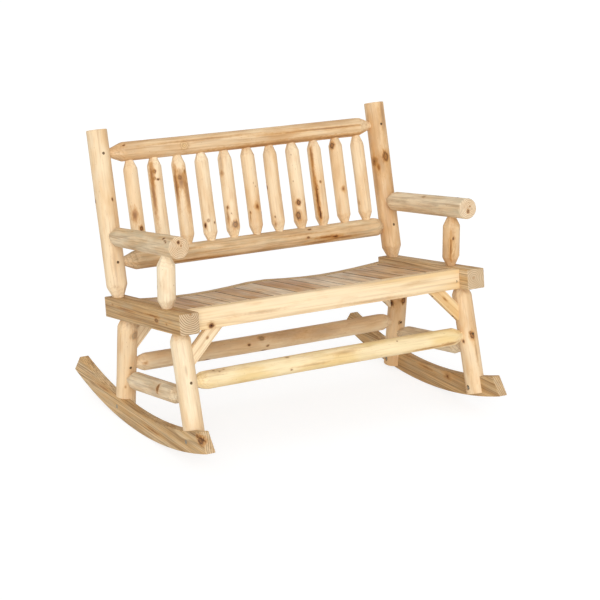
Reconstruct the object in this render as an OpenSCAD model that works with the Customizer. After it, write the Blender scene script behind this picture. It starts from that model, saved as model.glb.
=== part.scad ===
// Log rocking bench for two, in peeled softwood: a squared seat frame with a double-scooped
// slatted seat, round legs half-lapped onto two sawn rockers, braces and stretchers below,
// and a reclined back of eleven spindles between log posts, with log armrests.
//
// Bench frame: X runs along the bench, Y to the back and Z up. The origin lies on the floor,
// midway between the rockers and midway between their tips. The bench is drawn at rest, where
// its weight rolls the rockers back a little, so it stands on them just behind the origin.
// Seat frame: its origin is the middle of the side rails' front top edges. It is tipped back
// by the slope of the seat, so its Y runs back along the rails and its Z stands square to them.

/* [Overall] */
// Width over the two side rails of the seat
bench_w = 1118; // [960:1:1400]
// Height of the seat's front edge above the floor
seat_front_h = 474; // [440:1:520]
// Slope of the seat, down towards the back, in degrees
seat_tilt = 8.5; // [5:0.1:11]
// Distance of the seat's front edge ahead of the middle of the rockers
seat_setback = 320; // [300:1:345]

/* [Rockers] */
// Radius of the rocker's underside
rocker_r = 1585; // [1300:5:2200]
// Length of a rocker from tip to tip
rocker_l = 968; // [900:1:1100]
// Depth of a rocker, square to its curve
rocker_depth = 67; // [55:1:80]
// Thickness of the board that a rocker is sawn from
rocker_t = 32; // [26:1:38]
// How much shorter the top of a rocker is than its underside, at each end
rocker_end_cut = 46; // [20:1:60]
// How far the bench's weight rolls the rockers back from their middle, in degrees
rest_roll = 0.9; // [0:0.1:2]
// Distance of a rocker's outer face inside the outer face of the side rail
rocker_inset = 5; // [2:0.5:10]

/* [Seat frame] */
// Length of a side rail
side_rail_l = 542; // [520:1:580]
// Width of a side rail
side_rail_w = 66; // [60:1:76]
// Height of the side rails and the front rail
rail_h = 65; // [60:1:80]
// Distance of the front rail's face behind the ends of the side rails
front_rail_recess = 46; // [20:1:50]
// Thickness of the front and rear rails
cross_rail_t = 38; // [32:1:44]
// Thickness of the ledger strips that carry the slats
ledger_t = 32; // [28:1:38]
// Bevel along the long edges of the sawn rails
edge_ease = 2; // [1:0.5:4]

/* [Seat slats] */
// Thickness of a slat
slat_t = 19; // [15:1:22]
// Seam between two slats
slat_gap = 1.5; // [0.8:0.1:3]
// Width of the narrow strip at each end of the seat
end_strip_w = 31; // [24:1:40]
// Drop from the top of the side rails to the slats, at the ends and at the middle
seat_drop = 17; // [12:1:20]
// Extra depth of the two scoops of the seat
scoop_depth = 14; // [8:1:14]
// Gap between a slat's end and the rail that it meets
slat_end_gap = 0.5; // [0.3:0.1:1.5]

/* [Legs] */
// Diameter of a leg
leg_d = 65; // [60:1:68]
// Place of a front leg on the side rail, behind the rail's front end
front_leg_inset = 85; // [76:1:92]
// Forward splay of the front legs from square to the rail, in degrees
front_leg_splay = 9.6; // [6:0.1:12]
// Place of a rear leg on the side rail, ahead of the rail's rear end
rear_leg_inset = 87; // [82:1:92]
// Backward splay of the rear legs from square to the rail, in degrees
rear_leg_splay = 13.4; // [11:0.1:14.5]
// Height of the rounded shoulder at the top of a leg
leg_dome_h = 34; // [20:1:38]
// Diameter of a leg's shoulder where it meets the rail
leg_top_d = 36; // [36:1:46]
// Diameter of the tenon at the top of a leg
leg_tenon_d = 32; // [26:1:35]
// Length of the tenon at the top of a leg
leg_tenon_l = 40; // [30:1:48]
// Length of the leg's lap past the centre of the rocker bolt
lap_tail = 23; // [16:1:26]

/* [Stretchers] */
// Diameter of the front and rear stretchers
stretcher_d = 58; // [50:1:62]
// Place of the front and rear stretchers, as a share of the way from rail to rocker bolt
stretcher_place_share = 0.478; // [0.44:0.002:0.5]
// Diameter of the side stretchers
side_stretcher_d = 59; // [50:1:62]
// Wood left in a leg between the mortises of its two stretchers
mortise_web = 16; // [8:1:20]
// Length of the pencil point at the end of a stretcher
stretcher_cone_l = 44; // [30:1:60]
// Diameter of a stretcher's round tenon
stretcher_tenon_d = 30; // [26:1:36]
// Diameter of a side stretcher's round tenon
side_tenon_d = 28; // [24:1:34]
// Length of a stretcher's tenon inside the leg
stretcher_tenon_l = 42; // [38:1:46]

/* [Back] */
// Diameter of a back post
post_d = 68; // [62:1:72]
// Distance of the post's centre inside the outer face of the side rail
post_inset = 31; // [31:1:36]
// Place of a post on the side rail, ahead of the rail's rear end
post_setback = 42; // [32:1:44]
// Recline of the back from square to the seat, in degrees
back_lean = 7.1; // [3:0.1:14]
// Length of a post above the middle of the top rail
post_top_l = 78; // [45:1:120]
// Length of the pencil point at the foot of a post
post_cone_l = 40; // [28:1:55]
// Diameter of the tenon at the foot of a post
post_tenon_d = 37; // [28:1:40]
// Length of the tenon at the foot of a post
post_tenon_l = 50; // [40:1:54]
// Distance of the top rail up the back, from the side rails
top_rail_h = 463; // [420:1:490]
// Distance of the bottom rail up the back, from the side rails
bottom_rail_h = 111; // [95:1:140]
// Diameter of the two rails of the back
back_rail_d = 63; // [56:1:68]
// Length of the pencil point at the end of a back rail
back_rail_cone_l = 48; // [34:1:60]
// Diameter of a back rail's tenon
back_rail_tenon_d = 28; // [24:1:36]
// Length of a back rail's tenon inside the post
back_rail_tenon_l = 44; // [40:1:50]
// Diameter of a spindle
spindle_d = 47; // [40:1:52]
// Length of the pencil point at each end of a spindle
spindle_cone_l = 28; // [18:1:40]
// Diameter of a spindle's tenon
spindle_tenon_d = 27; // [18:1:30]
// Length of a spindle's tenon inside a rail
spindle_tenon_l = 26; // [18:1:34]
// Distance from a post's centre to the centre of the first spindle
spindle_end_gap = 95; // [85:1:110]
// Shift of the spindles to the right of the middle
spindle_shift = 5; // [0:1:8]

/* [Arms] */
// Diameter of an armrest at its front end
arm_front_d = 69; // [62:1:70]
// Diameter of an armrest at the post
arm_rear_d = 66; // [58:1:68]
// Width of the flat land at each edge of the armrest's cope
cope_land = 2; // [1.5:0.5:4]
// Height of the armrest's centre above the side rail
arm_h = 197; // [180:1:240]
// Place of the armrest's front end, behind the side rail's front end
arm_front_y = 28; // [10:1:60]
// Diameter of the post under an armrest
support_d = 57; // [50:1:62]
// Place of the post under an armrest, behind the side rail's front end
support_y = 145; // [136:1:180]
// Forward lean of the post under an armrest from square to the rail, in degrees
support_lean = 7.2; // [0:0.1:9]
// Length of the pencil point at each end of that post
support_cone_l = 30; // [18:1:40]
// Diameter of the tenons of that post
support_tenon_d = 30; // [24:1:36]
// Length of the tenon in the side rail
support_foot_l = 40; // [30:1:50]
// Length of the tenon in the armrest
support_head_l = 30; // [20:1:40]

/* [Braces] */
// Width of a brace
brace_w = 41; // [38:1:50]
// Thickness of a brace
brace_t = 22; // [18:1:26]
// Distance of a front brace behind the middle of the front rail
brace_setback = 6; // [0:1:6]
// Reach of a brace, as a share of the leg's height between the rail and the stretcher
brace_reach_share = 0.829; // [0.75:0.001:0.85]

/* [Fasteners] */
// Shank diameter of the wood screws
screw_d = 4.5; // [3.5:0.1:5.5]
// Head diameter of the wood screws
screw_head_d = 9; // [7:0.5:10]
// Length of the wood screws
screw_l = 45; // [42:1:46]
// Depth that a screw head is sunk below the wood
screw_sink = 2; // [1:0.5:3]
// Shank diameter of the slat screws
slat_screw_d = 3.5; // [3:0.1:4]
// Head diameter of the slat screws
slat_screw_head_d = 7; // [6:0.5:8]
// Length of a slat screw inside the ledger
slat_screw_grip = 12; // [10:0.5:13]
// Length of a slat screw inside the slat
slat_screw_bite = 11; // [8:0.5:12]
// Diameter of the rocker bolts
bolt_d = 8; // [6:0.5:10]
// Head diameter of the rocker bolts
bolt_head_d = 13; // [12:0.5:18]
// Thickness of the rocker bolt's head
bolt_head_t = 4; // [3:0.5:6]
// Size of the rocker nut across its flats
nut_w = 13; // [12:0.5:16]
// Thickness of the rocker nut
nut_t = 6.5; // [5:0.5:8]
// Depth of the nut's seat below the crown of the leg
nut_recess = 11; // [9:0.5:13]
// Diameter of the armrest lag screws
lag_d = 6.5; // [5:0.5:8]
// Head diameter of the armrest lag screws
lag_head_d = 13; // [11:0.5:15]
// Thickness of the lag screw's head
lag_head_t = 4.5; // [3:0.5:6]
// Length of the armrest lag screws under the head
lag_l = 100; // [85:1:110]

/* [Fit] */
// Clearance around tenons, screws and coped ends
fit_gap = 0.3; // [0.2:0.05:0.5]
// Clearance between the end of a tenon and the floor of its mortise
floor_gap = 1; // [0.5:0.1:2]

/* [Hidden] */
slat_count = 15;
spindle_count = 11;

function numbered(name, i) = str(name, i < 9 ? "_0" : "_", i + 1);

// Facets of the short arcs, and of the rockers' long ones, where a facet turns less
$fn = 48;
arc_fn = 720;

// Overrun of a cut past the wood that it leaves
overrun = 3;

// Places on a side rail, behind its front end
front_leg_y = front_leg_inset;
rear_leg_y = side_rail_l - rear_leg_inset;
post_y = side_rail_l - post_setback;
post_l = top_rail_h + post_top_l;

// Half of the clear width between the side rails, which the slats fill
seat_half_w = bench_w / 2 - side_rail_w;
seat_w = 2 * seat_half_w;
slat_pitch = (seat_w - 2 * end_strip_w) / (slat_count - 2);
front_rail_back_y = front_rail_recess + cross_rail_t;
rear_rail_front_y = side_rail_l - cross_rail_t;
slat_l = rear_rail_front_y - front_rail_back_y - 2 * slat_end_gap;

// The leg's centre line lies in the plane of the rocker's inner face, so half the leg
// stands on the rocker and half runs on down beside it
rocker_out_x = bench_w / 2 - rocker_inset;
leg_x = rocker_out_x - rocker_t;
post_x = bench_w / 2 - post_inset;
spindle_pitch = 2 * (post_x - spindle_end_gap) / (spindle_count - 1);

// Size of the cap screw's socket, of the sunk drilling round a nut, and of the bolt's spare end
socket_w = bolt_d * 0.6;
nut_bore_d = nut_w * 1.5;
bolt_spare = bolt_d / 4;

// Where a rail is pinned to its tenons: up the leg's tenon, and down the post's
leg_pin_z = -rail_h + leg_tenon_l * 0.6;
post_pin_z = -post_tenon_l * 0.36;

// Toe screw of a cross rail: distance from the rail's end, height and angle to the rail
toe_x = seat_half_w - screw_l / 3;
toe_z = -rail_h * 0.6;
toe_angle = 30;

// Distance of a slat screw from the cross rail, and the seams where a ledger is screwed:
// beside the middle slat and beside the narrow strips
slat_screw_y = ledger_t * 0.375;
ledger_seams = [1, (slat_count - 1) / 2, (slat_count + 1) / 2, slat_count - 1];

// Share of the brace's reach where its screws start, from the rail and from the leg
brace_screw_share = 0.14;
// Part of the leg's radius that a brace's mitre goes round the leg
brace_wrap = leg_d / 4;

// Pencil point: where its swelling lies, as shares of its length and of its flare
NOSE_LENGTH_SHARE = 0.45;
NOSE_FLARE_SHARE = 0.6;
// Power of the curve that rounds a leg's shoulder, from 1 for a quarter of an ellipse to 2
// for a straight cone
DOME_POWER = 1.7;

// A point of the seat frame, [y, z], given in the bench frame
function from_seat(y, z) = [
    y * cos(seat_tilt) + z * sin(seat_tilt) - seat_setback,
    seat_front_h - y * sin(seat_tilt) + z * cos(seat_tilt)
];

// Direction down a leg in the bench frame, [y, z]; a rear leg's splay is negative
function down_leg(splay) = [-sin(splay + seat_tilt), -cos(splay + seat_tilt)];

// Centre of the rockers' curves, [y, z], in the bench frame
rocker_half_turn = asin(rocker_l / 2 / rocker_r);
rocker_mid = [rocker_r * cos(rocker_half_turn) * sin(rest_roll), rocker_r];

// Distance from point p along direction d to the circle of radius r round the rocker's centre
function reach_arc(p, d, r) =
    let (q = p - rocker_mid, b = q * d, c = q * q - r * r)
    -b + sqrt(b * b - c);

// Distance from the rail's underside, down a leg, to the centre of the rocker bolt
function bolt_reach(y, splay) =
    reach_arc(from_seat(y, -rail_h), down_leg(splay), rocker_r - rocker_depth / 2);

// The bolt's centre in the bench frame, [y, z]
function bolt_at(y, splay) = from_seat(y, -rail_h) + down_leg(splay) * bolt_reach(y, splay);

// The stretchers lie at these distances below the seat frame's top: the side stretchers
// pass under the cross stretchers, and the braces end above them
leg_clear_h = bolt_reach(front_leg_y, front_leg_splay) * cos(front_leg_splay);
stretcher_drop = rail_h + leg_clear_h * stretcher_place_share;
side_stretcher_drop = stretcher_drop + (stretcher_tenon_d + side_tenon_d) / 2 + mortise_web;

// Distance that a brace reaches from the leg along the rail, and from the rail down the leg
brace_reach = (stretcher_drop - rail_h - stretcher_d / 2) * brace_reach_share;

// A leg's y in the seat frame, at a drop below the seat frame's top
function leg_y_at(y, splay, drop) = y - (drop - rail_h) * tan(splay);

// A post's y in the seat frame, at a height above the side rails
function post_y_at(z) = post_y + z * tan(back_lean);

// Cope of an armrest round its post, and the armrest's length to the lands at its edges
cope_r = post_d / 2 + fit_gap;
cope_edge = min(cope_r, arm_rear_d / 2 - cope_land);
arm_l = post_y_at(arm_h) - arm_front_y - sqrt(cope_r * cope_r - cope_edge * cope_edge);

// Radius of an armrest at a distance from its front end
function arm_r_at(s) = arm_front_d / 2 + (arm_rear_d - arm_front_d) / 2 * s / arm_l;

// Seat curve: two scoops with a crest between them, as height against x
function seat_curve(x) = -seat_drop - scoop_depth * abs(sin(180 * x / seat_half_w));
function seam_x(i) =
    i == 0 ? -seat_half_w
    : i == slat_count ? seat_half_w
    : -seat_half_w + end_strip_w + (i - 1) * slat_pitch;
function seam_z(i) = seat_curve(seam_x(i));
function slat_mid_x(i) = (seam_x(i) + seam_x(i + 1)) / 2;
function slat_mid_z(i) = (seam_z(i) + seam_z(i + 1)) / 2;
function slat_z(i, x) =
    seam_z(i) + (seam_z(i + 1) - seam_z(i)) * (x - seam_x(i)) / (seam_x(i + 1) - seam_x(i));

function spindle_x(i) = (i - (spindle_count - 1) / 2) * spindle_pitch + spindle_shift;

// Puts children into the seat frame
module on_seat() {
    translate([0, -seat_setback, seat_front_h])
        rotate([-seat_tilt, 0, 0])
            children();
}

// Puts children into the plane of the back, with z up the posts
module on_back() {
    on_seat()
        translate([0, post_y, 0])
            rotate([-back_lean, 0, 0])
                children();
}

// Puts children on a leg's centre line, with z up it from the rail's underside
module on_leg(y, splay) {
    on_seat()
        translate([leg_x, y, -rail_h])
            rotate([-splay, 0, 0])
                children();
}

// Puts children on the centre line of the post under an armrest
module on_support() {
    on_seat()
        translate([post_x, support_y, 0])
            rotate([support_lean, 0, 0])
                children();
}

// Pieces are drawn on the right and mirrored to the left
module left() {
    mirror([1, 0, 0])
        children();
}

module both_sides() {
    children();
    left()
        children();
}

// Shaved log along z from 0 to l, with a pencil point and a round tenon at each end.
// A point of no length leaves that end square, with no tenon.
module shaved_log(l, d, tenon_d, low_cone, high_cone, low_tenon, high_tenon) {
    r = d / 2;
    t = tenon_d / 2;
    swell = t + (r - t) * NOSE_FLARE_SHARE;
    low = low_cone > 0
        ? [[0, -low_tenon], [t, -low_tenon], [t, 0], [swell, low_cone * NOSE_LENGTH_SHARE],
           [r, low_cone]]
        : [[0, 0], [r, 0]];
    high = high_cone > 0
        ? [[r, l - high_cone], [swell, l - high_cone * NOSE_LENGTH_SHARE], [t, l],
           [t, l + high_tenon], [0, l + high_tenon]]
        : [[r - edge_ease, l], [0, l]];
    rotate_extrude()
        polygon(high_cone > 0 ? concat(low, high) : concat(low, [[r, l - edge_ease]], high));
}

// Bar along y from 0 to l with bevelled long edges; its section starts at x = 0, z = 0
module eased_bar(w, l, h) {
    e = edge_ease;
    translate([0, l, 0])
        rotate([90, 0, 0])
            linear_extrude(l)
                polygon([[e, 0], [w - e, 0], [w, e], [w, h - e], [w - e, h], [e, h], [0, h - e],
                         [0, e]]);
}

// Countersunk screw along z: the head's face at z = 0 and the point at z = l
module wood_screw(d, head_d, l) {
    flare = (head_d - d) / 2;
    rotate_extrude()
        polygon([[0, 0], [head_d / 2, 0], [d / 2, flare], [d / 2, l - d], [0, l]]);
}

// The hole that such a screw leaves, open for a length of lead above the head
module screw_hole(d, head_d, l, lead) {
    g = fit_gap;
    flare = (head_d - d) / 2;
    rotate_extrude()
        polygon([[0, -lead], [head_d / 2 + g, -lead], [head_d / 2 + g, 0], [d / 2 + g, flare],
                 [d / 2 + g, l + g], [0, l + g]]);
}

module frame_screw() {
    wood_screw(screw_d, screw_head_d, screw_l);
}

module frame_screw_hole() {
    screw_hole(screw_d, screw_head_d, screw_l, screw_sink + overrun);
}

module slat_screw() {
    wood_screw(slat_screw_d, slat_screw_head_d, slat_screw_grip + slat_screw_bite);
}

// Places of the screws, on the right-hand side, with z along each screw

// Pin through the front of a post into a back rail's tenon
module at_post_pin(h) {
    on_back()
        translate([post_x, -post_d / 2 + screw_sink, h])
            rotate([-90, 0, 0])
                children();
}

// Pin through the front of a leg into a stretcher's tenon
module at_leg_pin(y, splay) {
    on_leg(y, splay)
        translate([0, -leg_d / 2 + screw_sink, -(stretcher_drop - rail_h) / cos(splay)])
            rotate([-90, 0, 0])
                children();
}

// Pin through the outer face of a side rail
module at_rail_pin(y, z) {
    on_seat()
        translate([bench_w / 2 - screw_sink, y, z])
            rotate([0, -90, 0])
                children();
}

module at_front_leg_pin() {
    at_rail_pin(leg_y_at(front_leg_y, front_leg_splay, -leg_pin_z), leg_pin_z)
        children();
}

module at_post_foot_pin() {
    at_rail_pin(post_y_at(post_pin_z), post_pin_z)
        children();
}

// Toe screws of the front and rear rails, through a face into the side rail
module at_front_toe() {
    on_seat()
        translate([toe_x, front_rail_recess, toe_z])
            rotate([0, 90, toe_angle])
                translate([0, 0, screw_sink])
                    children();
}

module at_rear_toe() {
    on_seat()
        translate([toe_x, side_rail_l, toe_z])
            rotate([0, 90, -toe_angle])
                translate([0, 0, screw_sink])
                    children();
}

// Screws that hold a ledger to its rail, at chosen seams between the slats
module at_front_ledger_screws() {
    on_seat()
        for (i = ledger_seams)
            translate([seam_x(i), front_rail_back_y + ledger_t, (seam_z(i) - slat_t - rail_h) / 2])
                rotate([90, 0, 0])
                    children();
}

module at_rear_ledger_screws() {
    on_seat()
        for (i = ledger_seams)
            translate([seam_x(i), rear_rail_front_y - ledger_t, (seam_z(i) - slat_t - rail_h) / 2])
                rotate([-90, 0, 0])
                    children();
}

// Screws up through a ledger into slat i
module at_slat_screw(i, y) {
    on_seat()
        translate([slat_mid_x(i), y, slat_mid_z(i) - slat_t - slat_screw_grip])
            children();
}

module at_slat_screws(i) {
    at_slat_screw(i, front_rail_back_y + slat_screw_y)
        children();
    at_slat_screw(i, rear_rail_front_y - slat_screw_y)
        children();
}

// The two screws of a brace, which cross its grain into the rail and the leg
module at_brace_screws() {
    start = brace_reach * brace_screw_share;
    for (p = [[start, brace_reach - start], [brace_reach - start, start]])
        translate([p.x, 0, -p.y])
            rotate([0, -45, 0])
                children();
}

// Lag screw through the back of a post into the end of an armrest
module at_lag() {
    on_seat()
        translate([post_x, post_y_at(arm_h) + post_d / 2 / cos(back_lean) - lag_head_t, arm_h])
            rotate([90, 0, 0])
                children();
}

// Rocker bolt at a leg, with z from the rocker's outer face inwards
module at_bolt(y, splay) {
    p = bolt_at(y, splay);
    translate([rocker_out_x, p.x, p.y])
        rotate([0, -90, 0])
            children();
}

// Distance from the rocker's outer face to the seat of the nut
nut_seat = rocker_t + leg_d / 2 - nut_recess;

module bolt_hole() {
    cylinder(d = bolt_head_d + 2 * fit_gap, h = 2 * (bolt_head_t + fit_gap), center = true);
    translate([0, 0, -overrun])
        cylinder(d = bolt_d + 2 * fit_gap, h = nut_seat + nut_recess + 2 * overrun);
    translate([0, 0, nut_seat])
        cylinder(d = nut_bore_d, h = nut_recess + overrun);
}

// Solid between the rocker's centre and radius r, across the bench
module rocker_disc(r) {
    translate([0, rocker_mid.x, rocker_mid.y])
        rotate([0, 90, 0])
            cylinder(r = r, h = bench_w, $fn = arc_fn);
}

// Outline of a rocker round its own centre: a ring with slanting ends
module rocker_outline() {
    tip_y = rocker_l / 2;
    tip_z = rocker_r - sqrt(rocker_r * rocker_r - tip_y * tip_y);
    top_r = rocker_r - rocker_depth;
    top_y = tip_y - rocker_end_cut;
    top_z = rocker_r - sqrt(top_r * top_r - top_y * top_y);
    slant = (tip_y - top_y) / (top_z - tip_z);
    high_z = top_z + overrun;
    intersection() {
        difference() {
            circle(rocker_r, $fn = arc_fn);
            circle(top_r, $fn = arc_fn);
        }
        translate([0, -rocker_r])
            polygon([[-tip_y - slant * (tip_z + overrun), -overrun],
                     [tip_y + slant * (tip_z + overrun), -overrun],
                     [top_y - slant * overrun, high_z],
                     [-top_y + slant * overrun, high_z]]);
    }
}

module rocker() {
    color("burlywood")
        difference() {
            translate([leg_x, rocker_mid.x, rocker_mid.y])
                rotate([90, 0, 90])
                    linear_extrude(rocker_t)
                        rotate(-rest_roll)
                            rocker_outline();
            at_bolt(front_leg_y, front_leg_splay)
                bolt_hole();
            at_bolt(rear_leg_y, -rear_leg_splay)
                bolt_hole();
        }
}

// Log of a leg with its domed shoulder, from z = -l up to a little past the rail's underside
module leg_log(l, splay) {
    steps = 5;
    r = leg_d / 2;
    top_r = leg_top_d / 2;
    dome = [for (i = [0 : steps])
        let (a = 90 * i / steps)
        [top_r + (r - top_r) * pow(cos(a), DOME_POWER),
         leg_dome_h * (pow(sin(a), DOME_POWER) - 1)]];
    past = top_r * tan(abs(splay)) + overrun;
    rotate_extrude()
        polygon(concat([[0, -l], [r, -l]], dome, [[top_r, past], [0, past]]));
}

// What the rocker takes out of a leg: the outer half, below the rocker's curved top
module rocker_notch(y, splay) {
    p = bolt_at(y, splay);
    difference() {
        translate([leg_x, p.x - leg_d, p.y - 2 * rocker_depth])
            cube([leg_d, 2 * leg_d, 4 * rocker_depth]);
        rocker_disc(rocker_r - rocker_depth - fit_gap);
    }
}

// A leg; a front leg's splay is positive and a rear leg's is negative
module leg(y, splay) {
    reach = bolt_reach(y, splay);
    side_turn = splay > 0 ? -90 : 90;
    color("navajowhite")
        difference() {
            union() {
                difference() {
                    on_leg(y, splay)
                        leg_log(reach + lap_tail, splay);
                    on_seat()
                        translate([leg_x - leg_d, y - leg_d, -rail_h])
                            cube([2 * leg_d, 2 * leg_d, rail_h]);
                }
                on_leg(y, splay)
                    translate([0, 0, -leg_dome_h])
                        cylinder(d = leg_tenon_d, h = leg_dome_h + leg_tenon_l);
            }
            rocker_notch(y, splay);
            at_bolt(y, splay)
                bolt_hole();
            // Mortises of the cross stretcher and the side stretcher
            on_seat() {
                translate([leg_x - leg_d / 2, leg_y_at(y, splay, stretcher_drop), -stretcher_drop])
                    rotate([0, 90, 0])
                        mortise(stretcher_tenon_d, stretcher_tenon_l);
                translate([leg_x, side_mortise_y(y, splay), -side_stretcher_drop])
                    rotate([side_turn, 0, 0])
                        mirror([0, 0, 1])
                            mortise(side_tenon_d, stretcher_tenon_l);
            }
            at_leg_pin(y, splay)
                frame_screw_hole();
            if (splay > 0)
                at_front_leg_pin()
                    frame_screw_hole();
            at_brace_frame(y, splay)
                at_brace_screws()
                    frame_screw_hole();
        }
}

// Round mortise along z: its mouth at z = 0 and its floor past the end of the tenon
module mortise(d, l) {
    translate([0, 0, -d])
        cylinder(d = d + 2 * fit_gap, h = d + l + floor_gap);
}

// The y where a side stretcher's point meets the skin of a leg
function side_mortise_y(y, splay) =
    leg_y_at(y, splay, side_stretcher_drop) + (splay > 0 ? 1 : -1) * leg_d / 2 / cos(splay);

// A brace's own frame: its corner where the leg's inner side meets the rail, with x
// running inwards along the rail; the rear brace lies flush with the front of its ledger
function brace_mid_y(splay) =
    splay > 0 ? front_rail_recess + cross_rail_t / 2 + brace_setback
    : rear_rail_front_y - ledger_t + brace_t / 2;

module at_brace_frame(y, splay) {
    on_seat()
        translate([leg_x - leg_d / 2, brace_mid_y(splay), -rail_h])
            mirror([1, 0, 0])
                children();
}

module brace(y, splay) {
    near = brace_reach - brace_w * sqrt(2);
    color("wheat")
        difference() {
            at_brace_frame(y, splay)
                translate([0, brace_t / 2, 0])
                    rotate([90, 0, 0])
                        linear_extrude(brace_t)
                            polygon([[near, 0], [brace_reach, 0],
                                     [-brace_wrap, -brace_reach - brace_wrap],
                                     [-brace_wrap, -near - brace_wrap]]);
            on_leg(y, splay)
                translate([0, 0, -2 * brace_reach])
                    cylinder(d = leg_d + 2 * fit_gap, h = 2 * brace_reach + leg_tenon_l);
            at_brace_frame(y, splay)
                at_brace_screws()
                    frame_screw_hole();
        }
}

// Stretcher along x between the two legs of one end of the seat
module cross_stretcher(y, splay) {
    half = leg_x - leg_d / 2;
    color("navajowhite")
        difference() {
            on_seat()
                translate([-half, leg_y_at(y, splay, stretcher_drop), -stretcher_drop])
                    rotate([0, 90, 0])
                        shaved_log(2 * half, stretcher_d, stretcher_tenon_d, stretcher_cone_l,
                                   stretcher_cone_l, stretcher_tenon_l, stretcher_tenon_l);
            both_sides()
                at_leg_pin(y, splay)
                    frame_screw_hole();
        }
}

// Stretcher from the front leg to the rear leg of one side; its shoulders stand off the
// slanting skin of the legs until they clear it all round
module side_stretcher() {
    stand0 = side_tenon_d / 2 * tan(front_leg_splay);
    stand1 = side_tenon_d / 2 * tan(rear_leg_splay);
    y0 = side_mortise_y(front_leg_y, front_leg_splay) + stand0;
    y1 = side_mortise_y(rear_leg_y, -rear_leg_splay) - stand1;
    color("burlywood")
        on_seat()
            translate([leg_x, y0, -side_stretcher_drop])
                rotate([-90, 0, 0])
                    shaved_log(y1 - y0, side_stretcher_d, side_tenon_d, stretcher_cone_l,
                               stretcher_cone_l, stretcher_tenon_l + stand0,
                               stretcher_tenon_l + stand1);
}

module side_rail() {
    color("tan")
        difference() {
            on_seat()
                translate([seat_half_w, 0, -rail_h])
                    eased_bar(side_rail_w, side_rail_l, rail_h);
            on_leg(front_leg_y, front_leg_splay)
                mortise(leg_tenon_d, leg_tenon_l);
            on_leg(rear_leg_y, -rear_leg_splay)
                mortise(leg_tenon_d, leg_tenon_l);
            on_back()
                translate([post_x, 0, 0])
                    mirror([0, 0, 1])
                        mortise(post_tenon_d, post_tenon_l);
            on_support()
                mirror([0, 0, 1])
                    mortise(support_tenon_d, support_foot_l);
            at_front_leg_pin()
                frame_screw_hole();
            at_post_foot_pin()
                frame_screw_hole();
            at_front_toe()
                frame_screw_hole();
            at_rear_toe()
                frame_screw_hole();
        }
}

module front_rail() {
    color("wheat")
        difference() {
            on_seat()
                translate([seat_half_w, front_rail_recess, -rail_h])
                    rotate([0, 0, 90])
                        eased_bar(cross_rail_t, seat_w, rail_h);
            both_sides() {
                at_front_toe()
                    frame_screw_hole();
                at_brace_frame(front_leg_y, front_leg_splay)
                    at_brace_screws()
                        frame_screw_hole();
            }
            at_front_ledger_screws()
                frame_screw_hole();
        }
}

// Board along the seat in x and z, t thick from y on, with its top edge sawn to the
// curve of the seat and lowered by drop
module scooped_board(y, t, drop) {
    top = [for (i = [slat_count : -1 : 0]) [seam_x(i), seam_z(i) - drop]];
    on_seat()
        translate([0, y + t, 0])
            rotate([90, 0, 0])
                linear_extrude(t)
                    polygon(concat([[-seat_half_w, -rail_h], [seat_half_w, -rail_h]], top));
}

module rear_rail() {
    color("wheat")
        difference() {
            scooped_board(rear_rail_front_y, cross_rail_t, 0);
            both_sides()
                at_rear_toe()
                    frame_screw_hole();
            at_rear_ledger_screws()
                frame_screw_hole();
        }
}

// Hole of a slat screw, with a drilling below it that lets the head up into the ledger
module slat_screw_hole() {
    screw_hole(slat_screw_d, slat_screw_head_d, slat_screw_grip + slat_screw_bite, rail_h);
}

module front_ledger() {
    color("tan")
        difference() {
            scooped_board(front_rail_back_y, ledger_t, slat_t);
            at_front_ledger_screws()
                frame_screw_hole();
            for (i = [0 : slat_count - 1])
                at_slat_screws(i)
                    slat_screw_hole();
        }
}

module rear_ledger() {
    color("tan")
        difference() {
            scooped_board(rear_rail_front_y - ledger_t, ledger_t, slat_t);
            at_rear_ledger_screws()
                frame_screw_hole();
            for (i = [0 : slat_count - 1])
                at_slat_screws(i)
                    slat_screw_hole();
            both_sides()
                at_brace_frame(rear_leg_y, -rear_leg_splay)
                    at_brace_screws()
                        frame_screw_hole();
        }
}

// Slat i lies flat on the ledgers, between its two seams
module seat_slat(i) {
    x0 = seam_x(i) + slat_gap / 2;
    x1 = seam_x(i + 1) - slat_gap / 2;
    z0 = slat_z(i, x0);
    z1 = slat_z(i, x1);
    color(i % 3 == 1 ? "tan" : "burlywood")
        difference() {
            on_seat()
                translate([0, front_rail_back_y + slat_end_gap + slat_l, 0])
                    rotate([90, 0, 0])
                        linear_extrude(slat_l)
                            polygon([[x0, z0 - slat_t], [x1, z1 - slat_t], [x1, z1], [x0, z0]]);
            at_slat_screws(i)
                slat_screw_hole();
        }
}

module back_post() {
    stand = post_tenon_d / 2 * tan(back_lean);
    color("navajowhite")
        difference() {
            on_back()
                translate([post_x, 0, stand])
                    shaved_log(post_l - stand, post_d, post_tenon_d, post_cone_l, 0,
                               post_tenon_l + stand, 0);
            for (h = [top_rail_h, bottom_rail_h]) {
                on_back()
                    translate([post_x - post_d / 2, 0, h])
                        rotate([0, 90, 0])
                            mortise(back_rail_tenon_d, back_rail_tenon_l);
                at_post_pin(h)
                    frame_screw_hole();
            }
            at_post_foot_pin()
                frame_screw_hole();
            at_lag()
                lag_hole();
        }
}

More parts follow.
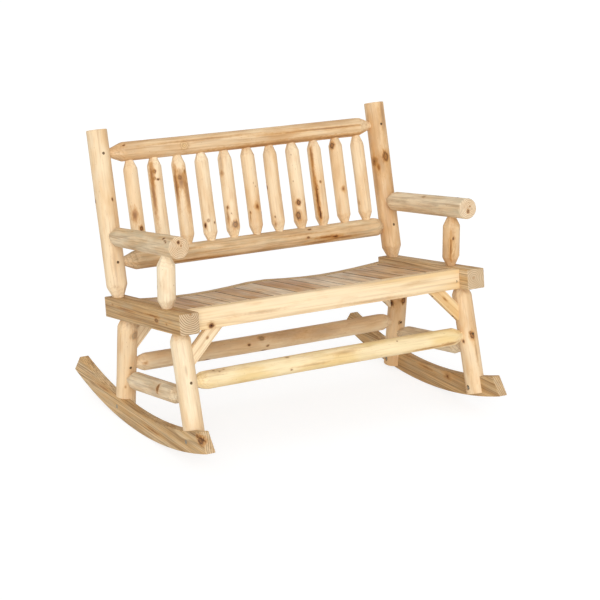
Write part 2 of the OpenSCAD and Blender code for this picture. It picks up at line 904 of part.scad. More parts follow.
// Rail of the back at height h, with a row of spindle mortises on one side of it
module back_rail(h, mortise_turn) {
    half = post_x - post_d / 2;
    color("burlywood")
        difference() {
            on_back()
                translate([-half, 0, h])
                    rotate([0, 90, 0])
                        shaved_log(2 * half, back_rail_d, back_rail_tenon_d, back_rail_cone_l,
                                   back_rail_cone_l, back_rail_tenon_l, back_rail_tenon_l);
            both_sides()
                at_post_pin(h)
                    frame_screw_hole();
            on_back()
                for (i = [0 : spindle_count - 1])
                    translate([spindle_x(i), 0, h])
                        rotate([mortise_turn, 0, 0])
                            translate([0, 0, -back_rail_d / 2])
                                mortise(spindle_tenon_d, spindle_tenon_l);
        }
}

module back_spindle(i) {
    low = bottom_rail_h + back_rail_d / 2;
    high = top_rail_h - back_rail_d / 2;
    color("navajowhite")
        on_back()
            translate([spindle_x(i), 0, low])
                shaved_log(high - low, spindle_d, spindle_tenon_d, spindle_cone_l,
                           spindle_cone_l, spindle_tenon_l, spindle_tenon_l);
}

// Armrest log, coped round the post at its rear end
module armrest() {
    e = edge_ease;
    r = arm_front_d / 2;
    color("tan")
        difference() {
            on_seat()
                translate([post_x, arm_front_y, arm_h])
                    rotate([-90, 0, 0])
                        rotate_extrude()
                            polygon([[0, 0], [r - e, 0], [r, e], [arm_rear_d / 2, arm_l],
                                     [0, arm_l]]);
            on_back()
                translate([post_x, 0, 0])
                    cylinder(r = cope_r, h = post_l);
            on_support()
                translate([0, 0, support_top()])
                    mortise(support_tenon_d, support_head_l);
            at_lag()
                lag_hole();
        }
}

// Length of the post under an armrest, from the rail to the armrest's underside
function support_top() =
    (arm_h - arm_r_at(support_y - arm_front_y)) / cos(support_lean)
    - support_tenon_d / 2 * tan(support_lean);

module arm_support() {
    stand = support_tenon_d / 2 * tan(support_lean);
    color("navajowhite")
        on_support()
            translate([0, 0, stand])
                shaved_log(support_top() - stand, support_d, support_tenon_d, support_cone_l,
                           support_cone_l, support_foot_l + stand, support_head_l);
}

module lag_hole() {
    translate([0, 0, -overrun])
        cylinder(d = lag_head_d + 2 * fit_gap, h = overrun + lag_head_t);
    cylinder(d = lag_d + 2 * fit_gap, h = lag_head_t + lag_l + fit_gap);
}

module armrest_screws() {
    color("silver")
        both_sides()
            at_lag() {
                cylinder(d = lag_head_d, h = lag_head_t - fit_gap / 2, $fn = 6);
                cylinder(d = lag_d, h = lag_head_t + lag_l);
            }
}

// Bolt with a flat socket head, flush with the rocker's outer face
module rocker_bolts() {
    color("gray")
        both_sides()
            for (leg = [[front_leg_y, front_leg_splay], [rear_leg_y, -rear_leg_splay]])
                at_bolt(leg.x, leg.y)
                    difference() {
                        union() {
                            cylinder(d = bolt_head_d, h = bolt_head_t);
                            cylinder(d = bolt_d, h = nut_seat + nut_t + bolt_spare);
                        }
                        translate([0, 0, -overrun])
                            cylinder(d = socket_w, h = overrun + bolt_head_t / 2, $fn = 6);
                    }
}

module rocker_nuts() {
    color("silver")
        both_sides()
            for (leg = [[front_leg_y, front_leg_splay], [rear_leg_y, -rear_leg_splay]])
                at_bolt(leg.x, leg.y)
                    translate([0, 0, nut_seat])
                        difference() {
                            cylinder(d = nut_w / cos(30), h = nut_t, $fn = 6);
                            translate([0, 0, -overrun])
                                cylinder(d = bolt_d + fit_gap, h = nut_t + 2 * overrun);
                        }
}

module frame_screws() {
    color("dimgray") {
        both_sides() {
            for (h = [top_rail_h, bottom_rail_h])
                at_post_pin(h)
                    frame_screw();
            at_leg_pin(front_leg_y, front_leg_splay)
                frame_screw();
            at_leg_pin(rear_leg_y, -rear_leg_splay)
                frame_screw();
            at_front_leg_pin()
                frame_screw();
            at_post_foot_pin()
                frame_screw();
            at_front_toe()
                frame_screw();
            at_rear_toe()
                frame_screw();
        }
        at_front_ledger_screws()
            frame_screw();
        at_rear_ledger_screws()
            frame_screw();
    }
}

module brace_screws() {
    color("dimgray")
        both_sides()
            for (leg = [[front_leg_y, front_leg_splay], [rear_leg_y, -rear_leg_splay]])
                at_brace_frame(leg.x, leg.y)
                    at_brace_screws()
                        frame_screw();
}

module slat_screws() {
    color("silver")
        for (i = [0 : slat_count - 1])
            at_slat_screws(i)
                slat_screw();
}

left() rocker();  // rocker_left
rocker();  // rocker_right
left() leg(front_leg_y, front_leg_splay);  // front_leg_left
leg(front_leg_y, front_leg_splay);  // front_leg_right
left() leg(rear_leg_y, -rear_leg_splay);  // rear_leg_left
leg(rear_leg_y, -rear_leg_splay);  // rear_leg_right
cross_stretcher(front_leg_y, front_leg_splay);  // front_stretcher
cross_stretcher(rear_leg_y, -rear_leg_splay);  // rear_stretcher
left() side_stretcher();  // side_stretcher_left
side_stretcher();  // side_stretcher_right
left() side_rail();  // side_rail_left
side_rail();  // side_rail_right
front_rail();
rear_rail();
front_ledger();
rear_ledger();
for (i = [0 : slat_count - 1])
    seat_slat(i);
left() back_post();  // back_post_left
back_post();  // back_post_right
back_rail(top_rail_h, 0);  // back_top_rail
back_rail(bottom_rail_h, 180);  // back_bottom_rail
for (i = [0 : spindle_count - 1])
    back_spindle(i);
left() armrest();  // armrest_left
armrest();  // armrest_right
left() arm_support();  // arm_support_left
arm_support();  // arm_support_right
left() brace(front_leg_y, front_leg_splay);  // brace_front_left
brace(front_leg_y, front_leg_splay);  // brace_front_right
left() brace(rear_leg_y, -rear_leg_splay);  // brace_rear_left
brace(rear_leg_y, -rear_leg_splay);  // brace_rear_right
rocker_bolts();
rocker_nuts();
frame_screws();
brace_screws();
slat_screws();
armrest_screws();
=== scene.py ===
"""Log rocking bench, dressed for the camera of its photograph.

The CAD frame gives every place: this script repeats its driving sizes, in metres, and builds
the peeled logs, sawn boards and seat slats again as numpy surfaces with the marks that the
hand tools leave. Screws, bolts and nuts stay as the frame's own nodes.
"""

import logging
import math
from collections.abc import Iterable, Sequence
from dataclasses import dataclass, replace
from enum import Enum
from typing import Any

import bpy
import numpy as np
from mathutils import Matrix, Vector


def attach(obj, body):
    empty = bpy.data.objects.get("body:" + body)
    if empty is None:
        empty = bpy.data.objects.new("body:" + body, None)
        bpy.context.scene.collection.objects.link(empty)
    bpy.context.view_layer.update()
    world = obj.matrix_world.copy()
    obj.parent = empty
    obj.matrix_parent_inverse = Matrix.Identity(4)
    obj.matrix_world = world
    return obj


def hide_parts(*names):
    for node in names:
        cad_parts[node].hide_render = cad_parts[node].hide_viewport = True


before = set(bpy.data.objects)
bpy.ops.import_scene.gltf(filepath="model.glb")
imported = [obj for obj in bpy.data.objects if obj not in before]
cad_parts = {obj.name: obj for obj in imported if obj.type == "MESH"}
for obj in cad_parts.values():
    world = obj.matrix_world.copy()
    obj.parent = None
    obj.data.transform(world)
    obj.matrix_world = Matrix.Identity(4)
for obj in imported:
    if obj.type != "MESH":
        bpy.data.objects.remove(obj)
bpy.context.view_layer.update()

LOG = logging.getLogger("bench")
MM = 0.001
GRAIN = "grain"
CUT = "cut"
TONE = "tone"
END_GRAIN = "end_grain"
JOINT_SHADE_LAYER = "joint"


# Places and frames


RIGHTWARD = (1, 0, 0)
LEFTWARD = (-1, 0, 0)
REARWARD = (0, 1, 0)
FORWARD = (0, -1, 0)
UPWARD = (0, 0, 1)
BENCH = np.eye(4)


class Side(Enum):
    """Left or right of the bench, with the sign of its x."""

    LEFT = -1
    RIGHT = 1

    @property
    def label(self) -> str:
        """The side's name as the frame's nodes spell it."""
        return self.name.lower()


def move(x: float, y: float, z: float) -> np.ndarray:
    """4 x 4 matrix of a shift, in metres."""
    m = np.eye(4)
    m[:3, 3] = (x, y, z)
    return m


def turn_x(degrees: float) -> np.ndarray:
    """4 x 4 matrix of a turn about x."""
    a = math.radians(degrees)
    m = np.eye(4)
    m[1:3, 1:3] = ((math.cos(a), -math.sin(a)), (math.sin(a), math.cos(a)))
    return m


def unit(v: Sequence[float]) -> np.ndarray:
    """The vector at length one."""
    v = np.asarray(v, float)
    return v / np.linalg.norm(v)


def axis_frame(
    parent: np.ndarray,
    start: Sequence[float],
    along: Sequence[float],
    facing: Sequence[float],
) -> np.ndarray:
    """Frame of a piece with z along it and y towards its face.

    Args:
        parent: 4 x 4 matrix of the frame that the other arguments are given in.
        start: Origin of the new frame, in metres.
        along: Direction of the new z.
        facing: Direction near the new y.

    Returns:
        4 x 4 matrix from the new frame to the row frame.
    """
    w = unit(along)
    f = np.asarray(facing, float)
    v = unit(f - w * f.dot(w))
    m = np.eye(4)
    m[:3, :3] = np.stack([np.cross(v, w), v, w], axis=1)
    m[:3, 3] = start
    return parent @ m


def placed(points: np.ndarray, place: np.ndarray) -> np.ndarray:
    """Rows of points taken through a 4 x 4 matrix."""
    return points @ place[:3, :3].T + place[:3, 3]


def sideways(x: float) -> np.ndarray:
    """Frame for an outline in y and z whose thickness runs along +x from x."""
    m = move(x, 0, 0)
    m[:3, :3] = ((0, 0, 1), (1, 0, 0), (0, 1, 0))
    return m


def endwise(y: float) -> np.ndarray:
    """Frame for an outline in x and z whose thickness runs along -y from y."""
    m = move(0, y, 0)
    m[:3, :3] = ((1, 0, 0), (0, 0, -1), (0, 1, 0))
    return m


@dataclass(frozen=True)
class Stance:
    """The bench's own frames, laid out with the driving sizes of the CAD source."""

    seat_front_h: float = 474 * MM
    seat_setback: float = 320 * MM
    seat_tilt: float = 8.5
    post_y: float = 500 * MM
    back_lean: float = 7.1
    leg_x: float = 522 * MM
    post_x: float = 528 * MM
    rail_h: float = 65 * MM
    seat_half_w: float = 493 * MM
    front_leg_y: float = 85 * MM
    front_leg_splay: float = 9.6
    rear_leg_y: float = 455 * MM
    rear_leg_splay: float = -13.4
    rocker_mid_y: float = 23.7 * MM
    rocker_r: float = 1585 * MM
    rocker_depth: float = 67 * MM

    @property
    def seat(self) -> np.ndarray:
        """Frame on the seat's front edge, tipped back."""
        return move(0, -self.seat_setback, self.seat_front_h) @ turn_x(-self.seat_tilt)

    @property
    def back(self) -> np.ndarray:
        """Frame in the plane of the back, with z up the posts."""
        return self.seat @ move(0, self.post_y, 0) @ turn_x(-self.back_lean)

    def leg(self, side: Side, y: float, splay: float) -> np.ndarray:
        """Frame of a leg, with z down it from the rail and y towards the front."""
        a = math.radians(splay)
        start = (side.value * self.leg_x, y, -self.rail_h)
        return axis_frame(self.seat, start, (0, -math.sin(a), -math.cos(a)), FORWARD)

    def leg_y_at(self, y: float, splay: float, drop: float) -> float:
        """Seat-frame y of a leg's axis at a drop below the seat's top."""
        return y - (drop - self.rail_h) * math.tan(math.radians(splay))


STANCE = Stance()


# Meshes


BORE_SIDES = 40
OVERRUN = 10 * MM
PIN_R = 4.8 * MM
PIN_DEPTH = 2.2 * MM
EASE_STEPS = 3
EASE_ANGLE = 30
SHARP_ANGLE = 32

# Depth below the peeled surface at which wood starts to look cut, and how much deeper it
# fully does; how squarely a face crosses the fibres where end grain starts to show, and how
# much more squarely where all of it does
SKIN = 1.2 * MM
UNDER_SKIN = 2.5 * MM
END_FACING = 0.6
END_EASE = 0.3


def mesh_object(
    name: str, points: np.ndarray, faces: Iterable[Sequence[int]]
) -> bpy.types.Object:
    """Links a new mesh object at the origin.

    Args:
        name: Name of the object and its mesh.
        points: Vertices in the row frame.
        faces: Vertex numbers of each face, anticlockwise from outside.

    Returns:
        The object.
    """
    mesh = bpy.data.meshes.new(name)
    mesh.from_pydata(points.tolist(), [], [list(f) for f in faces])
    obj = bpy.data.objects.new(name, mesh)
    bpy.context.scene.collection.objects.link(obj)
    return obj


def tube(name: str, place: np.ndarray, rings: np.ndarray) -> bpy.types.Object:
    """Closes a stack of rings into a solid: quads for its wall, a fan at each end.

    Args:
        name: Name of the object.
        place: Frame that the rings are in.
        rings: Array of rows x columns x 3, each row a closed ring, from low z to high.

    Returns:
        The object.
    """
    rows, cols, _ = rings.shape
    number = np.arange(rows * cols).reshape(rows, cols)
    right = np.roll(number, -1, axis=1)
    quads = np.stack([number[:-1], number[1:], right[1:], right[:-1]], axis=-1)
    poles = np.stack([rings[0].mean(axis=0), rings[-1].mean(axis=0)])
    low, high = np.full(cols, rows * cols), np.full(cols, rows * cols + 1)
    fans = np.concatenate(
        [
            np.stack([number[0], right[0], low], axis=-1),
            np.stack([right[-1], number[-1], high], axis=-1),
        ]
    )
    points = placed(np.concatenate([rings.reshape(-1, 3), poles]), place)
    return mesh_object(name, points, [*quads.reshape(-1, 4).tolist(), *fans.tolist()])


def ring_stack(radius: np.ndarray, z: np.ndarray, angle: np.ndarray) -> np.ndarray:
    """Rings of the surface x = r sin(angle), y = r cos(angle), z, as rows x columns x 3."""
    x = radius * np.sin(angle)
    y = radius * np.cos(angle)
    return np.stack([x, y, np.broadcast_to(z, x.shape)], axis=-1)


def freeze(obj: bpy.types.Object) -> None:
    """Makes the result of an object's modifiers its mesh."""
    graph = bpy.context.evaluated_depsgraph_get()
    mesh = bpy.data.meshes.new_from_object(obj.evaluated_get(graph))
    old = obj.data
    obj.modifiers.clear()
    obj.data = mesh
    bpy.data.meshes.remove(old)


def carve(obj: bpy.types.Object, cutters: Sequence[bpy.types.Object]) -> None:
    """Cuts closed objects out of another and removes them.

    Args:
        obj: Object to carve.
        cutters: Objects whose shapes are taken out of it.
    """
    for cutter in cutters:
        cut = obj.modifiers.new("cut", "BOOLEAN")
        cut.operation = "DIFFERENCE"
        cut.solver = "MANIFOLD"
        cut.object = cutter
    bpy.context.view_layer.update()
    freeze(obj)
    for cutter in cutters:
        bpy.data.objects.remove(cutter)


def bore(place: np.ndarray, radius: float, start: float, end: float) -> bpy.types.Object:
    """Cutter of a round hole.

    Args:
        place: Frame whose z the hole follows.
        radius: Radius of the hole, in metres.
        start: Distance along z at which it starts.
        end: Distance along z at which it ends.

    Returns:
        The cutter.
    """
    angle = np.linspace(0, 2 * math.pi, BORE_SIDES, endpoint=False)[None, :]
    z = np.array([[start], [end]])
    return tube("bore", place, ring_stack(np.full((2, 1), radius), z, angle))


def pin_hole(place: np.ndarray, radius: float, along: float) -> bpy.types.Object:
    """Cutter for a pin's sunk head, on the face of a log of that radius."""
    head = place @ axis_frame(BENCH, (0, radius, along), FORWARD, UPWARD)
    return bore(head, PIN_R, -OVERRUN, PIN_DEPTH)


def prism(
    name: str, place: np.ndarray, outline: np.ndarray, thickness: float
) -> bpy.types.Object:
    """Solid on an outline.

    Args:
        name: Name of the object.
        place: Frame whose x and y the outline is in and whose z the thickness follows.
        outline: Corners in metres, anticlockwise.
        thickness: Height of the solid along z.

    Returns:
        The object.
    """
    count = len(outline)
    low = np.column_stack([outline, np.zeros(count)])
    high = np.column_stack([outline, np.full(count, thickness)])
    number = np.arange(count)
    after = np.roll(number, -1)
    walls = np.stack([number, after, after + count, number + count], axis=-1)
    caps = [number[::-1].tolist(), (number + count).tolist()]
    points = placed(np.concatenate([low, high]), place)
    return mesh_object(name, points, [*walls.tolist(), *caps])


def rectangle(a0: float, b0: float, a1: float, b1: float) -> np.ndarray:
    """Corners of a rectangle, anticlockwise."""
    return np.array([(a0, b0), (a1, b0), (a1, b1), (a0, b1)])


def read(elements: Any, field: str) -> np.ndarray:
    """A vector of each vertex or face of a mesh, as rows of three."""
    flat = np.empty(len(elements) * 3)
    elements.foreach_get(field, flat)
    return flat.reshape(-1, 3)


def store(
    mesh: bpy.types.Mesh, name: str, values: np.ndarray, domain: str = "POINT"
) -> None:
    """Writes an attribute that the wood materials read.

    Args:
        mesh: Mesh that gets it.
        name: Name of the attribute.
        values: A number, or a row of three, for each element.
        domain: Kind of element.
    """
    kind, field = ("FLOAT", "value") if values.ndim == 1 else ("FLOAT_VECTOR", "vector")
    mesh.attributes.new(name, kind, domain).data.foreach_set(field, values.ravel())


def write_grain(
    mesh: bpy.types.Mesh, grain: np.ndarray, shift: float, skin: float | None, tone: float
) -> None:
    """Stores where each vertex lies in its timber.

    Args:
        mesh: Mesh that gets the attributes.
        grain: Frame with z along the fibres and its origin on the pith.
        shift: Distance along the fibres that sets this piece apart from the others.
        skin: Radius of the peeled surface, or None for sawn timber.
        tone: From 0, as pale as the finish allows, to 1, as dark.
    """
    local = placed(read(mesh.vertices, "co"), np.linalg.inv(grain))
    cut = np.ones(len(local))
    if skin is not None:
        depth = skin - np.hypot(local[:, 0], local[:, 1])
        cut = np.clip((depth - SKIN) / UNDER_SKIN, 0, 1)
    facing = np.abs(read(mesh.polygons, "normal") @ grain[:3, 2])
    store(mesh, GRAIN, local + (0, 0, shift))
    store(mesh, CUT, cut)
    store(mesh, TONE, np.full(len(local), tone))
    store(mesh, END_GRAIN, np.clip((facing - END_FACING) / END_EASE, 0, 1), "FACE")


def smooth(mesh: bpy.types.Mesh) -> None:
    """Shades a mesh smooth but for its sharp edges."""
    mesh.polygons.foreach_set("use_smooth", np.ones(len(mesh.polygons), bool))
    mesh.set_sharp_from_angle(angle=math.radians(SHARP_ANGLE))


def dress(
    obj: bpy.types.Object, material: bpy.types.Material, node: str
) -> None:
    """Gives a piece its finish and its place in the frame.

    Args:
        obj: The piece.
        material: Its finish.
        node: CAD node that the piece replaces.
    """
    obj.data.materials.clear()
    obj.data.materials.append(material)
    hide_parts(node)
    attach(obj, "root")
    LOG.info("%s: %d faces, %s", obj.name, len(obj.data.polygons), material.name)


# Materials


def linear(colour: str) -> tuple[float, float, float, float]:
    """An sRGB hex colour as linear red, green, blue and an alpha of one."""
    srgb = np.array([int(colour[i : i + 2], 16) for i in (1, 3, 5)]) / 255
    low = srgb / 12.92
    high = ((srgb + 0.055) / 1.055) ** 2.4
    return (*np.where(srgb <= 0.04045, low, high).tolist(), 1.0)


class Nodes:
    """Writes the node tree of a material or a world."""

    def __init__(self, owner: bpy.types.Material | bpy.types.World) -> None:
        """Empties the owner's tree."""
        owner.use_nodes = True
        self.owner = owner
        self.tree = owner.node_tree
        self.tree.nodes.clear()

    def add(
        self,
        kind: str,
        inputs: dict[int | str, Any] | None = None,
        output: int | str = 0,
        **settings: Any,
    ) -> bpy.types.NodeSocket | None:
        """Adds a node.

        Args:
            kind: Node type after the word ShaderNode.
            inputs: Value or output socket for each input, by name or number.
            output: Name or number of the output to hand back.
            **settings: Other properties of the node.

        Returns:
            The output socket, or None where the node has none.
        """
        node = self.tree.nodes.new("ShaderNode" + kind)
        for key, value in settings.items():
            setattr(node, key, value)
        for key, value in (inputs or {}).items():
            if isinstance(value, bpy.types.NodeSocket):
                self.tree.links.new(value, node.inputs[key])
            else:
                node.inputs[key].default_value = value
        return node.outputs[output] if node.outputs else None


def ramp(
    socket: bpy.types.NodeSocket, stops: Sequence[tuple[float, Any]]
) -> bpy.types.NodeSocket:
    """Sets a colour ramp's stops.

    Args:
        socket: Output of the ramp's node.
        stops: At least two places, each with its linear colour.

    Returns:
        The same socket.
    """
    elements = socket.node.color_ramp.elements
    for i, (place, colour) in enumerate(stops):
        element = elements[i] if i < len(elements) else elements.new(place)
        element.position = place
        element.color = colour
    return socket


def per_metre(across: float, along: float) -> tuple[float, float, float]:
    """Scale of a pattern whose features have these sizes, in metres."""
    return (1 / across, 1 / across, 1 / along)


class Figure(Enum):
    """What a mark in the wood is."""

    HEART = "dead branch: a dark heart in brown wood"
    RING = "live branch: a dark rim round paler wood"
    STAIN = "resin soaked into sound wood"
    SWIRL = "buried branch: pale wood that curls round it"


HEART, RING, STAIN, SWIRL = Figure


@dataclass(frozen=True)
class Knot:
    """A knot or stain on a log: its place in mm and degrees, its half width in mm.

    Angle 0 faces the front, or the left on pieces that run front to back. Force is how
    strongly it shows, stretch its length over its width, and out the share of the log's
    radius at which it lies.
    """

    along: float
    angle: float
    size: float = 4.0
    force: float = 0.9
    stretch: float = 1.4
    figure: Figure = HEART
    out: float = 1.0


@dataclass(frozen=True)
class Mark:
    """A knot or stain on a board, its place and half width in mm in the bench's frame."""

    at: tuple[float, float, float]
    size: float = 4.0
    force: float = 0.9
    stretch: float = 1.4
    figure: Figure = HEART


@dataclass(frozen=True)
class Spot:
    """A knot or stain with its middle in a piece's grain coordinates, in metres."""

    centre: tuple[float, ...]
    mark: Knot | Mark


KNOT_REACH = 2.6


def stops_of(*stops: tuple[float, str, float]) -> list[tuple[float, Any]]:
    """Ramp stops from distances in half widths, colours and how much each covers."""
    return [
        (reach / KNOT_REACH, (*linear(colour)[:3], cover)) for reach, colour, cover in stops
    ]


# Each figure from its middle outwards, ending in wood that is only a little warmer
FIGURE_STOPS = {
    HEART: stops_of(
        (0.0, "#2A1408", 1.0),
        (0.4, "#48230C", 1.0),
        (0.7, "#86501F", 0.95),
        (0.95, "#532C0E", 0.92),
        (1.2, "#A2672C", 0.65),
        (1.7, "#C68D4C", 0.32),
        (KNOT_REACH, "#DDB07C", 0.0),
    ),
    RING: stops_of(
        (0.0, "#5E3008", 1.0),
        (0.3, "#A2682A", 1.0),
        (0.6, "#8E561A", 1.0),
        (0.85, "#3E1E06", 1.0),
        (1.1, "#784414", 1.0),
        (1.6, "#BE8440", 0.75),
        (KNOT_REACH, "#E0B074", 0.0),
    ),
    STAIN: stops_of(
        (0.0, "#7C4614", 1.0),
        (0.6, "#975E22", 0.98),
        (1.1, "#B47A38", 0.85),
        (1.7, "#D09C5A", 0.55),
        (KNOT_REACH, "#E2B47A", 0.0),
    ),
    SWIRL: stops_of(
        (0.0, "#C0894A", 0.7),
        (0.3, "#ECCB94", 0.8),
        (0.6, "#B07C42", 0.6),
        (0.85, "#EECE9C", 0.8),
        (1.2, "#B58248", 0.5),
        (1.8, "#DDB07C", 0.15),
        (KNOT_REACH, "#DDB07C", 0.0),
    ),
}
# One growth ring outwards: early wood that darkens slowly, late wood, then a clean edge
RING_STOPS = (
    (0.0, (0, 0, 0, 1)),
    (0.55, (0.15, 0.15, 0.15, 1)),
    (0.86, (1, 1, 1, 1)),
    (1.0, (0, 0, 0, 1)),
)


@dataclass(frozen=True)
class Patch:
    """Noise with features of one size that shows where it lies between two levels."""

    across: float
    along: float
    low: float = 0.36
    high: float = 0.66
    detail: float = 3.0


WARM_PATCH = Patch(28 * MM, 90 * MM, 0.56, 0.74)
GREY_PATCH = Patch(20 * MM, 90 * MM, 0.42, 0.7)
BAST_PATCH = Patch(9 * MM, 130 * MM, 0.58, 0.68)
FLECK_PATCH = Patch(2.4 * MM, 9 * MM, 0.72, 0.78, 1.0)
RAGGED = Patch(6 * MM, 14 * MM, detail=2.0)
RAG_GAIN = 1.2
RAG_LEAST = 0.4
SWAY = Patch(60 * MM, 330 * MM, detail=2.0)
SWAY_SIZE = (14 * MM, 14 * MM, 0)
BLOTCH_SHARE = 0.4
LINE_LEVELS = (0.92, 1.28)
PITH_R = 4 * MM
PITH_HEART_R = 2 * MM
PITH_SHARE = 0.8
# Painted shade on the slats' sides in the open joints between them
JOINT_SHADE = "#4E3418"
FIBRE_RELIEF = 0.6
RING_RELIEF = 0.5


@dataclass(frozen=True)
class Timber:
    """Colours and pattern sizes shared by the wood finishes."""

    pale: str
    mid: str
    deep: str
    warm: str
    dark: str
    ring_gap: float
    ring_force: float
    skin_rings: float
    streak_force: float
    grey: str
    grey_share: float
    roughness: float
    blotch: Patch = Patch(45 * MM, 160 * MM)
    fibre: Patch = Patch(2.2 * MM, 90 * MM, detail=4.0)
    streak: Patch = Patch(6 * MM, 240 * MM)
    stain: str = "#A8703C"
    warm_share: float = 0.35
    end_rings: float = 0.7
    end_wood: str = "#E6CBA2"
    end_share: float = 0.5
    bast: float = 0.0
    flecks: float = 0.0

    def material(self, name: str, spots: Sequence[Spot] = ()) -> bpy.types.Material:
        """Builds the wood's node tree.

        Args:
            name: Name of the material.
            spots: The piece's own knots and stains.

        Returns:
            The material.
        """
        n = Nodes(bpy.data.materials.new(name))
        place = n.add("Attribute", output="Vector", attribute_name=GRAIN)
        cut, tone, end, joint = (
            n.add("Attribute", output="Fac", attribute_name=layer)
            for layer in (CUT, TONE, END_GRAIN, JOINT_SHADE_LAYER)
        )

        def noise(patch: Patch, output: str = "Fac") -> Any:
            """Noise stretched along the fibres to a patch's size."""
            scale = per_metre(patch.across, patch.along)
            at = n.add("VectorMath", {0: place, 1: scale}, operation="MULTIPLY")
            inputs = {"Vector": at, "Scale": 1.0, "Detail": patch.detail}
            return n.add("TexNoise", inputs, output)

        def cover(patch: Patch, share: float) -> Any:
            """How much a patch covers, from none to a share."""
            levels = {"From Min": patch.low, "From Max": patch.high, "To Max": share}
            inputs = {"Value": noise(patch), **levels}
            return n.add("MapRange", inputs, interpolation_type="SMOOTHSTEP")

        # Slow drift of tone along and around
        drift = {0: cover(self.blotch, BLOTCH_SHARE), 1: tone}
        shade = n.add("Math", drift, operation="ADD")
        stops = [(0.0, linear(self.pale)), (0.5, linear(self.mid)), (1.0, linear(self.deep))]
        colour = ramp(n.add("ValToRGB", {0: shade}), stops)

        # The fibres, which end grain hides
        side = n.add("Math", {0: 1.0, 1: end}, operation="SUBTRACT")
        fibre = noise(self.fibre)
        streak = noise(self.streak)
        both = n.add("Math", {0: fibre, 1: streak}, operation="ADD")
        low, high = LINE_LEVELS
        levels = {"From Min": low, "From Max": high, "To Max": self.streak_force}
        lines = n.add("MapRange", {"Value": both, **levels}, interpolation_type="SMOOTHSTEP")
        lines = n.add("Math", {0: lines, 1: side}, operation="MULTIPLY")

        # Growth rings round the pith, bent by slow noise
        sway = {0: noise(SWAY, "Color"), 1: SWAY_SIZE, 2: place}
        swayed = n.add("VectorMath", sway, operation="MULTIPLY_ADD")
        flat = n.add("VectorMath", {0: swayed, 1: (1, 1, 0)}, operation="MULTIPLY")
        reach = n.add("VectorMath", {0: flat}, "Value", operation="LENGTH")
        turns = n.add("Math", {0: reach, 1: 1 / self.ring_gap}, operation="MULTIPLY")
        turn = n.add("Math", {0: turns}, operation="FRACT")
        ring = ramp(n.add("ValToRGB", {0: turn}), RING_STOPS)
        depth = {"Value": cut, "To Min": self.skin_rings, "To Max": self.ring_force}
        force = n.add("Math", {0: n.add("MapRange", depth), 1: side}, operation="MULTIPLY")
        ends = {0: end, 1: self.end_rings, 2: force}
        force = n.add("Math", ends, operation="MULTIPLY_ADD")
        rings = n.add("Math", {0: ring, 1: force}, operation="MULTIPLY")
        levels = {"From Min": PITH_R, "From Max": PITH_HEART_R, "To Max": PITH_SHARE}
        pith = n.add("MapRange", {"Value": reach, **levels}, interpolation_type="SMOOTHSTEP")
        pith = n.add("Math", {0: pith, 1: cut}, operation="MULTIPLY")

        # Each layer lies over the last: patches, fresh ends, fibres, what the knife left,
        # rings, pith, and the painted shade that darkens the seat's open joints
        cut_end = n.add("Math", {0: end, 1: self.end_share}, operation="MULTIPLY")
        left = ((BAST_PATCH, self.bast), (FLECK_PATCH, self.flecks))
        layers = (
            (cover(WARM_PATCH, self.warm_share), self.warm),
            (cover(GREY_PATCH, self.grey_share), self.grey),
            (cut_end, self.end_wood),
            (lines, self.dark),
            *((cover(patch, share), self.stain) for patch, share in left if share),
            (rings, self.dark),
            (pith, self.stain),
            (joint, JOINT_SHADE),
        )
        for amount, shade in layers:
            inputs = {0: amount, 6: colour, 7: linear(shade)}
            colour = n.add("Mix", inputs, 2, data_type="RGBA")

        # Knots and stains, each by its distance in half widths, made ragged
        if spots:
            ragged = {0: noise(RAGGED), 1: RAG_GAIN, 2: RAG_LEAST}
            rag = n.add("Math", ragged, operation="MULTIPLY_ADD")
        for spot in spots:
            size = spot.mark.size * MM * KNOT_REACH
            scale = per_metre(size, size * spot.mark.stretch)
            off = n.add("VectorMath", {0: place, 1: spot.centre}, operation="SUBTRACT")
            by_size = n.add("VectorMath", {0: off, 1: scale}, operation="MULTIPLY")
            far = n.add("VectorMath", {0: by_size}, "Value", operation="LENGTH")
            away = n.add("Math", {0: far, 1: rag}, operation="MULTIPLY")
            shade = ramp(n.add("ValToRGB", {0: away}), FIGURE_STOPS[spot.mark.figure])
            alpha = shade.node.outputs["Alpha"]
            amount = n.add("Math", {0: alpha, 1: spot.mark.force}, operation="MULTIPLY")
            colour = n.add("Mix", {0: amount, 6: colour, 7: shade}, 2, data_type="RGBA")

        # Fibres and late wood stand proud by a few hundredths of a millimetre
        proud = n.add("Math", {0: rings, 1: RING_RELIEF}, operation="MULTIPLY")
        height = {0: fibre, 1: FIBRE_RELIEF, 2: proud}
        relief = n.add("Math", height, operation="MULTIPLY_ADD")
        matt = {"To Min": self.roughness - 0.08, "To Max": self.roughness + 0.1}
        paint = {
            "Base Color": colour,
            "Roughness": n.add("MapRange", {"Value": streak, **matt}),
            "Normal": n.add("Bump", {"Height": relief, "Strength": 0.35, "Distance": 0.8 * MM}),
            "Specular IOR Level": 0.3,
        }
        n.add("OutputMaterial", {"Surface": n.add("BsdfPrincipled", paint)})
        return n.owner


# Softwood peeled with a drawknife down to the cream sapwood, smooth to the eye; a little bast
# stays behind in streaks and flecks, and resin warms it round the knots
PEELED_LOG = Timber(
    pale="#FFEDCC",
    mid="#EFCFA3",
    deep="#CD9E69",
    warm="#E0A868",
    dark="#BE9058",
    ring_gap=5.2 * MM,
    ring_force=0.2,
    skin_rings=0.06,
    streak_force=0.17,
    grey="#E0D0B6",
    grey_share=0.25,
    roughness=0.56,
    bast=0.2,
    flecks=0.5,
    end_wood="#F0D4AE",
)

# The top rail's log was peeled deeper, so its growth rings show as long brown lines
DEEP_PEELED_LOG = replace(
    PEELED_LOG,
    dark="#A8743C",
    skin_rings=0.22,
    streak_force=0.34,
    streak=Patch(5 * MM, 420 * MM),
)

